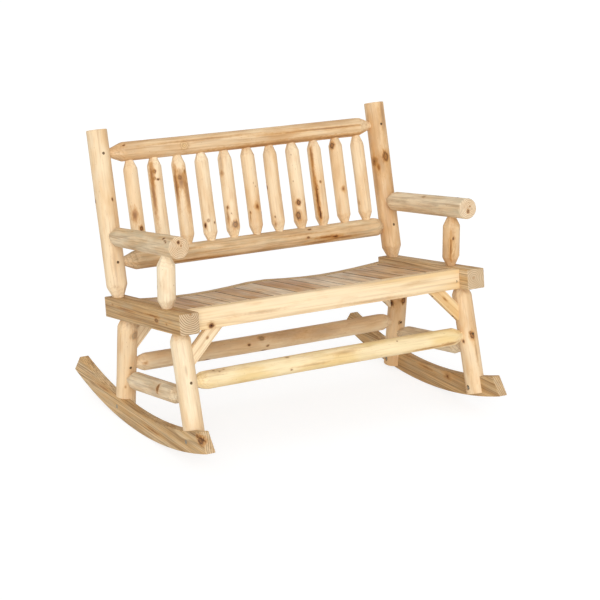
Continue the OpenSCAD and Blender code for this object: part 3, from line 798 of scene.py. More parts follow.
# The front stretcher's sapwood has yellowed in the sun
YELLOWED_LOG = replace(
    PEELED_LOG,
    pale="#FDE9BE",
    mid="#F0D192",
    warm="#E3B45E",
    grey="#DECF9E",
    streak_force=0.24,
)

# Peeled logs that stood longer in the weather: greyer, with brown lines along the fibres
WEATHERED_LOG = replace(
    PEELED_LOG,
    pale="#F8E6C6",
    mid="#E6C69A",
    deep="#C2996A",
    warm="#CE9C62",
    dark="#8C6238",
    ring_force=0.3,
    skin_rings=0.2,
    streak_force=0.36,
    grey="#D0C3A4",
    grey_share=0.5,
    roughness=0.6,
    blotch=Patch(30 * MM, 130 * MM),
    streak=Patch(7 * MM, 160 * MM),
    bast=0.22,
    flecks=0.6,
    end_wood="#EED2B0",
)

# Boards sawn from the same softwood and left rough; light and handling have turned them tan,
# with straight brown lines where the saw crossed the rings
SAWN_BOARD = Timber(
    pale="#F6DFB8",
    mid="#DFBA85",
    deep="#BE925C",
    warm="#C98F50",
    dark="#7C5228",
    ring_gap=6.5 * MM,
    ring_force=0.45,
    skin_rings=0.45,
    streak_force=0.7,
    grey="#CDB996",
    grey_share=0.5,
    roughness=0.62,
    blotch=Patch(22 * MM, 400 * MM),
    fibre=Patch(1.8 * MM, 260 * MM, detail=4.0),
    streak=Patch(4 * MM, 700 * MM),
    end_rings=1.0,
    end_wood="#E2CCAC",
    end_share=0.7,
)

# Fresh planed boards of the front rail and braces, nearly as pale as the logs
PALE_BOARD = Timber(
    pale="#FFEAC6",
    mid="#F3D097",
    deep="#D6A466",
    warm="#E2AE70",
    dark="#C1935A",
    ring_gap=8.0 * MM,
    ring_force=0.35,
    skin_rings=0.35,
    streak_force=0.35,
    grey="#E6D4B4",
    grey_share=0.2,
    roughness=0.58,
    blotch=Patch(24 * MM, 600 * MM),
    fibre=Patch(2.0 * MM, 240 * MM, detail=4.0),
    streak=Patch(9 * MM, 800 * MM),
    warm_share=0.3,
)

# Seat boards, sanded, of flat-sawn softwood gone a little grey where people sit; their
# pale, greyish colours also hold a painted sheen of the bright surroundings glancing off the
# seat
SEAT_BOARD_WITH_SHEEN = Timber(
    pale="#FFF0D6",
    mid="#EFCD9F",
    deep="#CDA070",
    warm="#DCA566",
    dark="#946A42",
    ring_gap=7.0 * MM,
    ring_force=0.4,
    skin_rings=0.4,
    streak_force=0.5,
    grey="#DFD2C0",
    grey_share=0.5,
    roughness=0.5,
    blotch=Patch(34 * MM, 200 * MM),
    fibre=Patch(2.0 * MM, 180 * MM, detail=4.0),
    streak=Patch(7 * MM, 300 * MM),
    warm_share=0.5,
)


@dataclass(frozen=True)
class Steel:
    """Steel hardware with a thin coat that is worn through in patches."""

    coat: str
    worn: str
    roughness: float
    metallic: float
    patch: float = 3 * MM
    worn_levels: tuple[float, float] = (0.45, 0.7)

    def material(self, name: str) -> bpy.types.Material:
        """Builds the steel's node tree.

        Args:
            name: Name of the material.

        Returns:
            The material.
        """
        n = Nodes(bpy.data.materials.new(name))
        place = n.add("TexCoord", output="Object")
        pattern = {"Vector": place, "Scale": 1 / self.patch, "Detail": 4.0}
        grime = n.add("TexNoise", pattern)
        low, high = self.worn_levels
        wear = n.add("MapRange", {"Value": grime, "From Min": low, "From Max": high})
        coats = {0: wear, 6: linear(self.coat), 7: linear(self.worn)}
        matt = {"To Min": self.roughness - 0.1, "To Max": self.roughness + 0.15}
        paint = {
            "Base Color": n.add("Mix", coats, 2, data_type="RGBA"),
            "Roughness": n.add("MapRange", {"Value": grime, **matt}),
            "Metallic": self.metallic,
            "Normal": n.add("Bump", {"Height": grime, "Strength": 0.2, "Distance": 0.2 * MM}),
        }
        n.add("OutputMaterial", {"Surface": n.add("BsdfPrincipled", paint)})
        return n.owner


# Deck screws with a brown coat, scuffed to bare steel by the driver, so they show as dark dots
SCREW_STEEL = Steel(coat="#5E4630", worn="#96805F", roughness=0.55, metallic=0.3)

# Zinc-plated bolts and nuts, dulled in their drilled holes but with a soft shine
BOLT_STEEL = Steel(coat="#8C8474", worn="#C2BAA6", roughness=0.45, metallic=0.7)


# Looks of the single pieces


@dataclass(frozen=True)
class Look:
    """What sets a piece apart: the seed of its unevenness, its tone, finish and knots."""

    seed: int
    tone: float
    finish: Timber
    marks: tuple[Knot | Mark, ...] = ()


LOOKS = {
    "front_leg_left": Look(11, 0.04, PEELED_LOG, (
        Knot(120, -20, 3, 0.3, 3, STAIN),
        Knot(265, -150, 5),
    )),
    "front_leg_right": Look(12, 0.3, PEELED_LOG, (
        Knot(166, -7, 5.5, 0.9, 1.5, RING),
        Knot(155, -16, 3, 0.7, 1.4, RING),
        Knot(181, -66, 3.5),
        Knot(222, 4, 3, 0.55, 7, STAIN),
    )),
    "rear_leg_left": Look(13, 0.36, PEELED_LOG, (
        Knot(140, 120, 5),
        Knot(52, 20, 9, 0.5, 1.0, RING),
        Knot(228, -30, 2.5, 0.6, 1.4, STAIN),
    )),
    "rear_leg_right": Look(14, 0.36, PEELED_LOG, (
        Knot(93, -73, 8, 1.0, 1.3),
        Knot(80, 5, 7, 1.0, 1.2, RING),
        Knot(161, -12, 3, 0.7, 1.4, RING),
        Knot(60, -30, 10, 0.35, 3, STAIN),
    )),
    "front_stretcher": Look(21, 0.0, YELLOWED_LOG, (
        Knot(62, 62, 8, 0.35, 3, STAIN),
        Knot(56, 70, 2, 0.6),
        Knot(72, 52, 1.8, 0.5),
        Knot(90, 66, 1.8, 0.5),
        Knot(317, 71, 2.5, 0.9, 2),
        Knot(320, -19, 2.5, 0.8),
        Knot(400, -8, 2.5, 0.4, 16, STAIN),
        Knot(520, 34, 4, 0.4, 7, STAIN),
        Knot(720, 46, 1.8, 0.8),
        Knot(846, -42, 3, 0.7, 12, STAIN),
        Knot(925, -36, 4, 0.7, 6, STAIN),
        Knot(610, -120, 6),
    )),
    "rear_stretcher": Look(22, 0.15, PEELED_LOG, (
        Knot(22, -3, 3.5, 0.9, 1.8, STAIN),
        Knot(405, 5, 3, 0.95),
        Knot(457, 36, 6, 0.6, 1.2, RING),
        Knot(476, -21, 3, 0.8, 1.2, RING),
        Knot(466, -58, 4, 0.8, 2.5),
        Knot(250, -62, 4, 0.9, 2),
        Knot(240, -75, 3, 0.7, 12, STAIN),
        Knot(700, 10, 12, 0.3, 4, STAIN),
        Knot(560, 30, 14, 0.3, 3, STAIN),
        Knot(760, 170, 6),
    )),
    "side_stretcher_left": Look(24, 0.0, WEATHERED_LOG, (
        Knot(127, -24, 9, 0.95, 0.5, RING),
        Knot(152, 10, 12, 0.3, 2, STAIN),
    )),
    # Painted light: a tone below zero makes this piece paler to lift the seat's shade on it
    "side_stretcher_right": Look(26, -0.6, WEATHERED_LOG, (
        Knot(240, 140, 5),
    )),
    "back_post_left": Look(30, 0.22, PEELED_LOG, (
        Knot(313, -16, 3),
        Knot(315, 100, 4),
        Knot(105, 20, 4, 0.3, 9, STAIN),
    )),
    "back_post_right": Look(32, 0.45, PEELED_LOG, (
        Knot(337, 73, 7.5, 0.9, 1.4, RING),
        Knot(337, 73, 4, 1.0),
        Knot(314, 50, 4.5, 0.95, 2, STAIN),
        Knot(349, -2, 8, 0.95, 1.6, RING),
        Knot(325, 30, 12, 0.35, 2.4, STAIN),
        Knot(490, -20, 8, 0.55, 6, STAIN),
        Knot(200, -30, 8, 0.35, 8, STAIN),
        Knot(250, 76, 6, 0.35, 12, STAIN),
    )),
    "back_top_rail": Look(35, 0.42, DEEP_PEELED_LOG, (
        Knot(43, 40, 3, 1.0, 1.6),
        Knot(256, -6, 11, 1.0, 1.1, SWIRL),
        Knot(640, -56, 7, 0.7, 24, STAIN),
        Knot(470, -64, 5, 0.5, 20, STAIN),
        Knot(800, 8, 2.2, 0.7, 60, STAIN),
        Knot(860, -56, 5, 0.55, 14, STAIN),
        Knot(320, 22, 2.2, 0.5, 60, STAIN),
        Knot(700, 150, 6),
    )),
    "back_bottom_rail": Look(36, 0.34, WEATHERED_LOG, (
        Knot(786, -34, 4, 0.9, 2.2),
        Knot(760, -22, 4, 0.95, 9, STAIN),
        Knot(815, -40, 4, 0.7, 9, STAIN),
        Knot(720, -52, 4, 0.7, 9, STAIN),
        Knot(785, -26, 3, 0.95, 3),
        Knot(690, 45, 3, 0.9, 1.8),
        Knot(677, -9, 3, 0.9, 1.6),
        Knot(640, 15, 2, 0.5, 30, STAIN),
        Knot(180, 25, 2.5, 0.6, 24, STAIN),
        Knot(240, -52, 3, 0.8, 22, STAIN),
        Knot(350, -64, 3, 0.7, 22, STAIN),
        Knot(330, -10, 2, 0.55, 26, STAIN),
        Knot(300, 160, 6),
    )),
    "back_spindle_01": Look(41, 0.03, PEELED_LOG, (
        Knot(111, 36, 7.5, 0.85, 2.0, STAIN),
        Knot(66, -5, 5, 0.95, 1.2, RING),
    )),
    "back_spindle_02": Look(42, 0.1, PEELED_LOG, (
        Knot(245, 28, 3.5, 0.95, 1.2, RING),
        Knot(218, 8, 4, 0.95, 0.7),
        Knot(222, 34, 3, 0.8, 1.2, RING),
        Knot(180, 58, 5, 0.85, 12, STAIN),
        Knot(240, 50, 5, 0.6, 5, STAIN),
    )),
    "back_spindle_03": Look(43, 0.16, PEELED_LOG, (
        Knot(234, -24, 4, 1.0, 1.5),
        Knot(206, 14, 12, 0.8, 1.7, STAIN),
        Knot(216, 26, 5, 0.6, 1.2, RING),
        Knot(160, -24, 7, 0.6, 6, STAIN),
        Knot(190, 64, 5, 0.85, 9, STAIN),
    )),
    "back_spindle_04": Look(44, 0.03, PEELED_LOG, (
        Knot(49, 63, 4, 1.0, 1.8),
        Knot(55, -22, 2.5),
        Knot(64, 31, 3, 0.6, 1.2, RING),
    )),
    "back_spindle_05": Look(45, 0.06, PEELED_LOG, (
        Knot(214, 69, 4, 0.6, 1.4, STAIN),
        Knot(99, 54, 3, 0.95, 1.6),
        Knot(68, 60, 3, 0.7, 6, STAIN),
        Knot(78, 28, 1.8, 0.6),
        Knot(250, 60, 4, 0.4, 9, STAIN),
        Knot(40, 7, 7.5, 0.75, 1.1, RING),
    )),
    "back_spindle_06": Look(46, 0.28, PEELED_LOG, (
        Knot(90, -5, 5.5, 0.95, 1.4, STAIN),
        Knot(73, 64, 2.5),
        Knot(58, 70, 2, 0.7, 5, STAIN),
        Knot(68, -52, 2.5),
        Knot(170, 5, 1.5, 0.5),
        Knot(158, -10, 1.5, 0.5),
    )),
    "back_spindle_07": Look(47, 0.18, PEELED_LOG, (
        Knot(15, 56, 3, 0.9, 3.2),
        Knot(48, 50, 1.8, 0.7),
        Knot(150, 100, 4),
        Knot(120, -60, 1.8, 0.6),
    )),
    "back_spindle_08": Look(48, 0.16, PEELED_LOG, (
        Knot(86, 28, 5.5, 0.95, 1.3, RING),
        Knot(42, 42, 6.5, 0.85, 1.7, RING),
        Knot(62, -44, 5, 0.6, 3.5, STAIN),
        Knot(250, 40, 1.5, 0.5),
        Knot(160, 50, 1.5, 0.5),
    )),
    "back_spindle_09": Look(49, 0.26, PEELED_LOG, (
        Knot(205, 60, 2.5, 0.95),
        Knot(170, 60, 3.6, 0.9, 16, STAIN),
        Knot(240, 56, 4, 0.7, 7, STAIN),
        Knot(80, 50, 4.5, 1.0, 12, STAIN),
        Knot(95, 52, 2, 0.9, 24),
        Knot(35, 42, 3, 0.95, 8),
        Knot(147, 6, 2.5, 0.8, 1.2, RING),
        Knot(122, 40, 2, 0.8),
    )),
    "back_spindle_10": Look(50, 0.34, PEELED_LOG, (
        Knot(266, 60, 6.5, 0.85, 1.2, RING),
        Knot(114, 7, 4.5, 0.85, 1.3, STAIN),
    )),
    "back_spindle_11": Look(51, 0.22, PEELED_LOG, (
        Knot(100, -60, 2, 0.5),
        Knot(60, 80, 3, 0.5, 2, STAIN),
    )),
    "armrest_left": Look(60, 0.16, WEATHERED_LOG, (
        Knot(57, -51, 3.5, 0.95, 1.5),
        Knot(40, -38, 2, 0.7, 3),
        Knot(29, -31, 2.5, 0.8),
        Knot(0, -85, 4, 0.95, 1.0, HEART, 0.48),
        Knot(300, -70, 3, 0.5, 1.4, STAIN),
        Knot(90, -95, 2, 0.5, 20, STAIN),
    )),
    "armrest_right": Look(62, -0.08, WEATHERED_LOG, (
        Knot(52, -89, 3.5),
        Knot(0, 90, 4, 0.8, 1.0, RING, 0.25),
        Knot(230, -60, 4, 0.5, 1.4, RING),
    )),
    "arm_support_left": Look(64, -0.3, PEELED_LOG, (
        Knot(70, 110, 4, 0.5),
    )),
    "arm_support_right": Look(66, 0.5, PEELED_LOG, (
        Knot(72, 30, 8, 1.0, 4.5, SWIRL),
        Knot(64, 36, 2.6, 0.85, 10, STAIN),
        Knot(98, 22, 2.5, 0.9, 2),
    )),
    "rocker_left": Look(70, 0.3, SAWN_BOARD, (
        Mark((-554, -445, 115), 9, 0.9, 1.4, RING),
        Mark((-554, -425, 122), 4, 0.8, 1.4, RING),
        Mark((-554, -120, 40), 3, 0.7, 12, STAIN),
        Mark((-554, 250, 70), 3, 0.7, 14, STAIN),
    )),
    "rocker_right": Look(72, 0.45, SAWN_BOARD, (
        Mark((522, -188, 65), 3.5),
        Mark((522, -188, 66), 9, 0.5, 1.6, STAIN),
        Mark((522, -60, 60), 3, 0.6, 10, STAIN),
    )),
    "side_rail_left": Look(74, 0.48, SAWN_BOARD, (
        Mark((-559, -166.7, 416.2), 5, 0.75, 1.6, RING),
        Mark((-559, -140, 424), 2.5, 0.8, 14, STAIN),
        Mark((-559, 60, 392), 2.5, 0.7, 20, STAIN),
        Mark((-559, 154, 383.7), 3, 0.6, 1.6, STAIN),
        Mark((-559, -235, 422), 3, 0.6, 1.6, STAIN),
        Mark((-540, 60, 432), 4, 0.7, 14, STAIN),
    )),
    "side_rail_right": Look(76, 0.2, SAWN_BOARD, (
        Mark((520, 30, 430), 4, 0.6, 12, STAIN),
    )),
    "front_rail": Look(81, 0.05, PALE_BOARD, (
        Mark((-429.8, -282.7, 412.5), 6.5, 1.0, 1.2),
        Mark((-250, -282, 430), 3, 0.4, 16, STAIN),
        Mark((180, -282, 410), 3, 0.4, 22, STAIN),
    )),
    "rear_rail": Look(82, 0.3, SAWN_BOARD),
    "front_ledger": Look(83, 0.5, SAWN_BOARD),
    "rear_ledger": Look(84, 0.5, SAWN_BOARD),
    "brace_front_left": Look(90, 0.0, PALE_BOARD, (
        Mark((-440, -275, 372), 2.5, 0.7, 1.4, RING),
        Mark((-462, -275, 345), 2.5, 0.4, 4, STAIN),
    )),
    "brace_front_right": Look(92, 0.35, PALE_BOARD, (
        Mark((440, -275, 372), 2.5, 0.8, 3.5, STAIN),
        Mark((452, -275, 345), 2.5, 0.7, 1.6),
    )),
    # Painted light: tones below zero make the rear braces paler to lift the shade they sit in
    "brace_rear_left": Look(92, -0.8, PALE_BOARD),
    "brace_rear_right": Look(94, -0.45, PALE_BOARD),
}
SLAT_TONES = (0.4, 0.5, 0.8, 0.2, 0.35, 0.65, 0.0, 0.75, 0.6, -0.1, 0.1, 0.0, 0.6, 0.55, 0.7)
LOOKS |= {
    f"seat_slat_{i + 1:02d}": Look(101 + i, tone, SEAT_BOARD_WITH_SHEEN)
    for i, tone in enumerate(SLAT_TONES)
}


# Logs


COLUMNS = 96
ROW_GAP = 4 * MM
FINE_ROW_GAP = 1.6 * MM
SHOULDER_ROW = 0.4 * MM
EDGE_ROWS = 5
CAP_RINGS = (0.35, 0.7)
KNIFE_PLANES = 13
HEWN_PLANES = 8
HEWN_UNEVEN = 0.14
CORNER_BLUR = 0.15 * MM
LOBE_SHARE = 0.007
WAVE_SHARE = 0.006
KNOT_RISE = 0.9 * MM
SHIFT_PER_SEED = 1.7
BOW_TURN_PER_SEED = 2.4


class EndKind(Enum):
    """How a log's end is worked."""

    POINT = "hewn to a blunt point with a round tenon"
    DOME = "rounded over to a shoulder with a round tenon"
    SAWN = "sawn square with its edge eased"


@dataclass(frozen=True)
class End:
    """One end of a log: how far the work reaches, the tenon's radius and length.

    A shoulder's bulge runs from 1, a cone, to 2, a ball.
    """

    kind: EndKind
    reach: float
    radius: float = 0.0
    tenon: float = 0.0
    bulge: float = 1.18


def waves(t: np.ndarray, rng: np.random.Generator, longest: float) -> np.ndarray:
    """Sum of four sines, from the longest wave down, each weaker by 1.7.

    Args:
        t: Distances, in metres.
        rng: Source of the sines' phases.
        longest: Length of the longest wave, in metres.

    Returns:
        Heights, mostly between -1 and 1, in the shape of t.
    """
    total = np.zeros_like(t)
    for k in range(4):
        turn = rng.uniform(0, 2 * math.pi)
        total = total + np.sin(2 * math.pi * t * 1.9**k / longest + turn) / 1.7**k
    return total / 2

def soft_min(stack: np.ndarray, blur: float) -> np.ndarray:
    """Least value over the last axis, with corners rounded over the blur, in metres."""
    least = stack.min(axis=-1, keepdims=True)
    return least[..., 0] - blur * np.log(np.exp((least - stack) / blur).sum(axis=-1))

@dataclass
class Log:
    """A peeled log as one closed surface r(angle, z) in its own frame."""

    node: str
    place: np.ndarray
    length: float
    radius: float
    low: End
    high: End
    high_radius: float | None = None
    bow: float = 0.0

    @property
    def look(self) -> Look:
        """What sets this log apart."""
        return LOOKS[self.node]

    @property
    def shift(self) -> float:
        """Distance along the fibres that sets this log's pattern apart."""
        return SHIFT_PER_SEED * self.look.seed

    @property
    def far_radius(self) -> float:
        """Radius at the high end."""
        return self.high_radius or self.radius

    def spots(self) -> list[Spot]:
        """The log's knots in its grain coordinates."""
        made = []
        for knot in self.look.marks:
            a = math.radians(knot.angle)
            r = self.radius * knot.out
            centre = (r * math.sin(a), r * math.cos(a), knot.along * MM + self.shift)
            made.append(Spot(centre, knot))
        return made

    def end_rows(self, end: End) -> np.ndarray:
        """Distances from an end's shoulder at which the surface has rows, rising."""
        if end.kind is EndKind.SAWN:
            return end.reach * (1 - np.cos(np.linspace(0, math.pi / 2, EDGE_ROWS)))
        worked = end.reach * 1.5
        stub = [-end.tenon, -end.tenon / 2, -SHOULDER_ROW, SHOULDER_ROW]
        count = max(6, int(worked / FINE_ROW_GAP))
        return np.concatenate([stub, np.linspace(FINE_ROW_GAP, worked, count)])

    def planes(self, end: End, away: np.ndarray, rng: np.random.Generator) -> np.ndarray:
        """Distance of each hewn plane from the axis, as rows x planes.

        Args:
            end: The end that the planes belong to.
            away: Distance of each row from the end's shoulder.
            rng: Source of the unevenness.

        Returns:
            For a point, a straight slope from the tenon's radius to R over each plane's
            own length; for a shoulder of bulge b, (1 - (1 - s) ^ b) ^ (1 / b) of the way
            at share s.
        """
        uneven = 1 + HEWN_UNEVEN * rng.uniform(-1, 1, HEWN_PLANES)
        s = away[:, None] / (end.reach * uneven)
        body = self.far_radius if end is self.high else self.radius
        start, gain = 0.95 * end.radius, 1.01 * body - end.radius
        if end.kind is EndKind.DOME:
            rise = (1 - (1 - np.clip(s, 0, 1)) ** end.bulge) ** (1 / end.bulge)
            return start + gain * (rise + np.clip(s - 1, 0, 2))
        return start + gain * np.clip(s, 0, 3)

    def radii(self, angle: np.ndarray, z: np.ndarray) -> np.ndarray:
        """Radius of the surface.

        A round body tapers a little and has two and three slow lobes. Thirteen faint planes
        of the knife cut it along its length. Eight hewn planes cut it at each worked end,
        and the least of all of them, with soft corners, is the surface. A knot lifts it by
        a bell curve.

        Args:
            angle: Columns' angles, as 1 x columns.
            z: Rows' distances from the low shoulder, as rows x 1.

        Returns:
            Rows x columns of metres.
        """
        rng = np.random.default_rng(self.look.seed)
        taper = (self.far_radius - self.radius) * np.clip(z / self.length, 0, 1)
        size = self.radius + taper
        lobes = sum(
            np.cos(k * (angle - rng.uniform(0, 6) - 0.5 * waves(z, rng, 0.7))) for k in (2, 3)
        )
        uneven = LOBE_SHARE * lobes + WAVE_SHARE * waves(z, rng, 0.35)
        body = size + self.radius * uneven

        def plane(distance: np.ndarray, turn: np.ndarray) -> np.ndarray:
            """Radius at which each plane is met, as rows x columns x planes."""
            lean = np.cos(angle[..., None] - turn)
            return distance[:, None, :] / np.maximum(lean, 0.25)

        def turns(count: int) -> np.ndarray:
            """Directions of planes set unevenly round the log."""
            return (np.arange(count) + rng.uniform(-0.3, 0.3, count)) * 2 * math.pi / count

        faint = [size * (0.996 + 0.012 * waves(z, rng, 0.3)) for _ in range(KNIFE_PLANES)]
        stack = [body[..., None], plane(np.concatenate(faint, axis=1), turns(KNIFE_PLANES))]
        ends = ((self.low, z), (self.high, self.length - z))
        for end, away in ends:
            if end.kind is not EndKind.SAWN:
                stack.append(plane(self.planes(end, away[:, 0], rng), turns(HEWN_PLANES)))
        radius = soft_min(np.concatenate(stack, axis=-1), CORNER_BLUR)
        for knot in self.look.marks:
            if knot.figure is not STAIN and knot.out == 1:
                turn = np.angle(np.exp(1j * (angle - math.radians(knot.angle))))
                aside = turn * self.radius / (knot.size * 1.5 * MM)
                along = (z - knot.along * MM) / (knot.size * knot.stretch * 2.0 * MM)
                radius = radius + KNOT_RISE * knot.force * np.exp(-(aside**2) - along**2)
        radius = np.minimum(radius, size)
        for end, away in ends:
            if end.kind is EndKind.SAWN:
                inside = np.clip(away / end.reach, 0, 1)
                ease = end.reach * (1 - np.sqrt(np.clip(1 - (1 - inside) ** 2, 0, 1)))
                radius = radius - ease
            else:
                radius = np.where(away < 0, end.radius, radius)
        return radius

    def surface(self) -> bpy.types.Object:
        """Builds the closed surface, bowed along half a sine, in the row frame."""
        low = self.end_rows(self.low)
        high = self.length - self.end_rows(self.high)[::-1]
        inner = np.arange(low[-1] + ROW_GAP, high[0] - ROW_GAP / 2, ROW_GAP)
        z = np.concatenate([low, inner, high])[:, None]
        angle = np.linspace(0, 2 * math.pi, COLUMNS, endpoint=False)[None, :]
        rings = ring_stack(self.radii(angle, z), z, angle)
        arch = np.sin(math.pi * np.clip(z / self.length, 0, 1))
        heading = BOW_TURN_PER_SEED * self.look.seed
        rings[..., 0] += self.bow * arch * math.cos(heading)
        rings[..., 1] += self.bow * arch * math.sin(heading)

        def cap(ring: np.ndarray, shares: Sequence[float]) -> np.ndarray:
            """Rings inside an end's rim, each a share of its size."""
            middle = ring.mean(axis=0)
            return middle + (ring - middle) * np.reshape(shares, (-1, 1, 1))

        low_cap, high_cap = cap(rings[0], CAP_RINGS), cap(rings[-1], CAP_RINGS[::-1])
        stack = np.concatenate([low_cap, rings, high_cap])
        return tube("peeled_" + self.node, self.place, stack)

    def build(self, cutters: Sequence[bpy.types.Object] = ()) -> None:
        """Builds, carves and dresses the log.

        Args:
            cutters: Closed objects to cut out of it.
        """
        obj = self.surface()
        if cutters:
            carve(obj, cutters)
        smooth(obj.data)
        write_grain(obj.data, self.place, self.shift, self.radius, self.look.tone)
        title = "Peeled softwood, " + self.node.replace("_", " ")
        dress(obj, self.look.finish.material(title, self.spots()), self.node)


@dataclass
class Legs:
    """Four splayed legs, rounded over at the rails and lapped on the rockers' inner faces."""

    radius: float = 32.5 * MM
    top: End = End(EndKind.DOME, 34 * MM, 18 * MM, 8 * MM)
    foot: End = End(EndKind.SAWN, 1.5 * MM)
    front_l: float = 357.5 * MM
    rear_l: float = 328 * MM
    front_bolt: tuple[float, float] = (-349.5 * MM, 79.1 * MM)
    rear_bolt: tuple[float, float] = (146.5 * MM, 38.4 * MM)
    recess_x: float = 500.5 * MM
    recess_r: float = 9.7 * MM
    recess_deep: float = 50 * MM
    pin_drop: float = 157.7 * MM
    lap_gap: float = 0.3 * MM
    lap_half: float = 600 * MM
    lap_low: float = 200 * MM
    lap_reach: float = 80 * MM
    lap_points: int = 61

    def cutters(
        self, side: Side, place: np.ndarray, splay: float, bolt: tuple[float, float]
    ) -> list[bpy.types.Object]:
        """Cutters of the lap on the rocker, of the nut's recess and of the stretcher's pin.

        Args:
            side: Side of the bench.
            place: The leg's frame.
            splay: The leg's splay, in degrees.
            bolt: The bolt's y and z, in metres.

        Returns:
            The cutters.
        """
        s = STANCE
        top = s.rocker_r - s.rocker_depth - self.lap_gap
        y = np.linspace(self.lap_half, -self.lap_half, self.lap_points)
        arc = np.stack([y + s.rocker_mid_y, s.rocker_r - np.sqrt(top**2 - y**2)], axis=1)
        below = np.array([(-self.lap_half, -self.lap_low), (self.lap_half, -self.lap_low)])
        start = s.leg_x if side is Side.RIGHT else -s.leg_x - self.lap_reach
        lap = prism("lap", sideways(start), np.concatenate([below, arc]), self.lap_reach)
        middle = axis_frame(BENCH, (0, *bolt), (-side.value, 0, 0), UPWARD)
        recess = bore(middle, self.recess_r, -self.recess_x, self.recess_deep - self.recess_x)
        depth = self.pin_drop / math.cos(math.radians(splay))
        return [lap, recess, pin_hole(place, self.radius, depth)]

    def build(self) -> None:
        """Builds the four legs."""
        s = STANCE
        for name, y, splay, length, bolt in (
            ("front", s.front_leg_y, s.front_leg_splay, self.front_l, self.front_bolt),
            ("rear", s.rear_leg_y, s.rear_leg_splay, self.rear_l, self.rear_bolt),
        ):
            for side in Side:
                node = f"{name}_leg_{side.label}"
                place = s.leg(side, y, splay)
                log = Log(node, place, length, self.radius, self.top, self.foot)
                log.build(self.cutters(side, place, splay, bolt))


@dataclass
class Stretchers:
    """Logs between the legs: two across, rounded over, and a pointed one at each side."""

    half: float = 489.5 * MM
    drop: float = 222.7 * MM
    radius: float = 29 * MM
    bow: float = 2 * MM
    shoulder: End = End(EndKind.DOME, 38 * MM, 15 * MM, 30 * MM, 1.32)
    side_drop: float = 267.7 * MM
    side_radius: float = 29.5 * MM
    side_y: tuple[float, float] = (86.0 * MM, 466.5 * MM)
    side_point: End = End(EndKind.POINT, 44 * MM, 14 * MM, 30 * MM)

    def build(self) -> None:
        """Builds the four stretchers."""
        s = STANCE
        ends = (self.shoulder, self.shoulder)
        for node, leg_y, splay in (
            ("front_stretcher", s.front_leg_y, s.front_leg_splay),
            ("rear_stretcher", s.rear_leg_y, s.rear_leg_splay),
        ):
            start = (-self.half, s.leg_y_at(leg_y, splay, self.drop), -self.drop)
            place = axis_frame(s.seat, start, RIGHTWARD, FORWARD)
            Log(node, place, 2 * self.half, self.radius, *ends, bow=self.bow).build()
        ends = (self.side_point, self.side_point)
        near, far = self.side_y
        for side in Side:
            start = (side.value * s.leg_x, near, -self.side_drop)
            place = axis_frame(s.seat, start, REARWARD, LEFTWARD)
            node = f"side_stretcher_{side.label}"
            Log(node, place, far - near, self.side_radius, *ends).build()


@dataclass
class Back:
    """Two posts, two rails and eleven spindles, all peeled, leaning back in one plane."""

    post_l: float = 541 * MM
    post_r: float = 34 * MM
    post_point: End = End(EndKind.POINT, 40 * MM, 18.5 * MM, 30 * MM)
    post_top: End = End(EndKind.SAWN, 2.5 * MM)
    rail_r: float = 31.5 * MM
    rail_point: End = End(EndKind.POINT, 48 * MM, 14 * MM, 34 * MM)
    rail_shoulder: End = End(EndKind.DOME, 32 * MM, 16 * MM, 34 * MM, 1.5)
    rail_half: float = 494 * MM
    rail_bow: float = 1.5 * MM
    top_rail_h: float = 463 * MM
    bottom_rail_h: float = 111 * MM
    spindles: int = 11
    spindle_r: float = 23.5 * MM
    spindle_point: End = End(EndKind.POINT, 28 * MM, 13.5 * MM, 20 * MM)
    spindle_pitch: float = 86.6 * MM
    spindle_shift: float = 5 * MM
    spindle_bow: float = 1.2 * MM

    def build_posts(self) -> None:
        """Builds the posts, with their pins' holes on the front."""
        ends = (self.post_point, self.post_top)
        for side in Side:
            start = (side.value * STANCE.post_x, 0, 0)
            place = axis_frame(STANCE.back, start, UPWARD, FORWARD)
            heights = (self.top_rail_h, self.bottom_rail_h)
            pins = [pin_hole(place, self.post_r, height) for height in heights]
            node = f"back_post_{side.label}"
            Log(node, place, self.post_l, self.post_r, *ends).build(pins)

    def build_rails(self) -> None:
        """Builds the top and bottom rails."""
        for node, height, right_end in (
            ("back_top_rail", self.top_rail_h, self.rail_point),
            ("back_bottom_rail", self.bottom_rail_h, self.rail_shoulder),
        ):
            start = (-self.rail_half, 0, height)
            place = axis_frame(STANCE.back, start, RIGHTWARD, FORWARD)
            ends = (self.rail_point, right_end)
            Log(node, place, 2 * self.rail_half, self.rail_r, *ends, bow=self.rail_bow).build()

    def build_spindles(self) -> None:
        """Builds the spindles from left to right."""
        low = self.bottom_rail_h + self.rail_r
        length = self.top_rail_h - self.rail_r - low
        ends = (self.spindle_point, self.spindle_point)
        for i in range(self.spindles):
            x = (i - (self.spindles - 1) / 2) * self.spindle_pitch + self.spindle_shift
            place = axis_frame(STANCE.back, (x, 0, low), UPWARD, FORWARD)
            node = f"back_spindle_{i + 1:02d}"
            Log(node, place, length, self.spindle_r, *ends, bow=self.spindle_bow).build()

    def build(self) -> None:
        """Builds the whole back."""
        self.build_posts()
        self.build_rails()
        self.build_spindles()


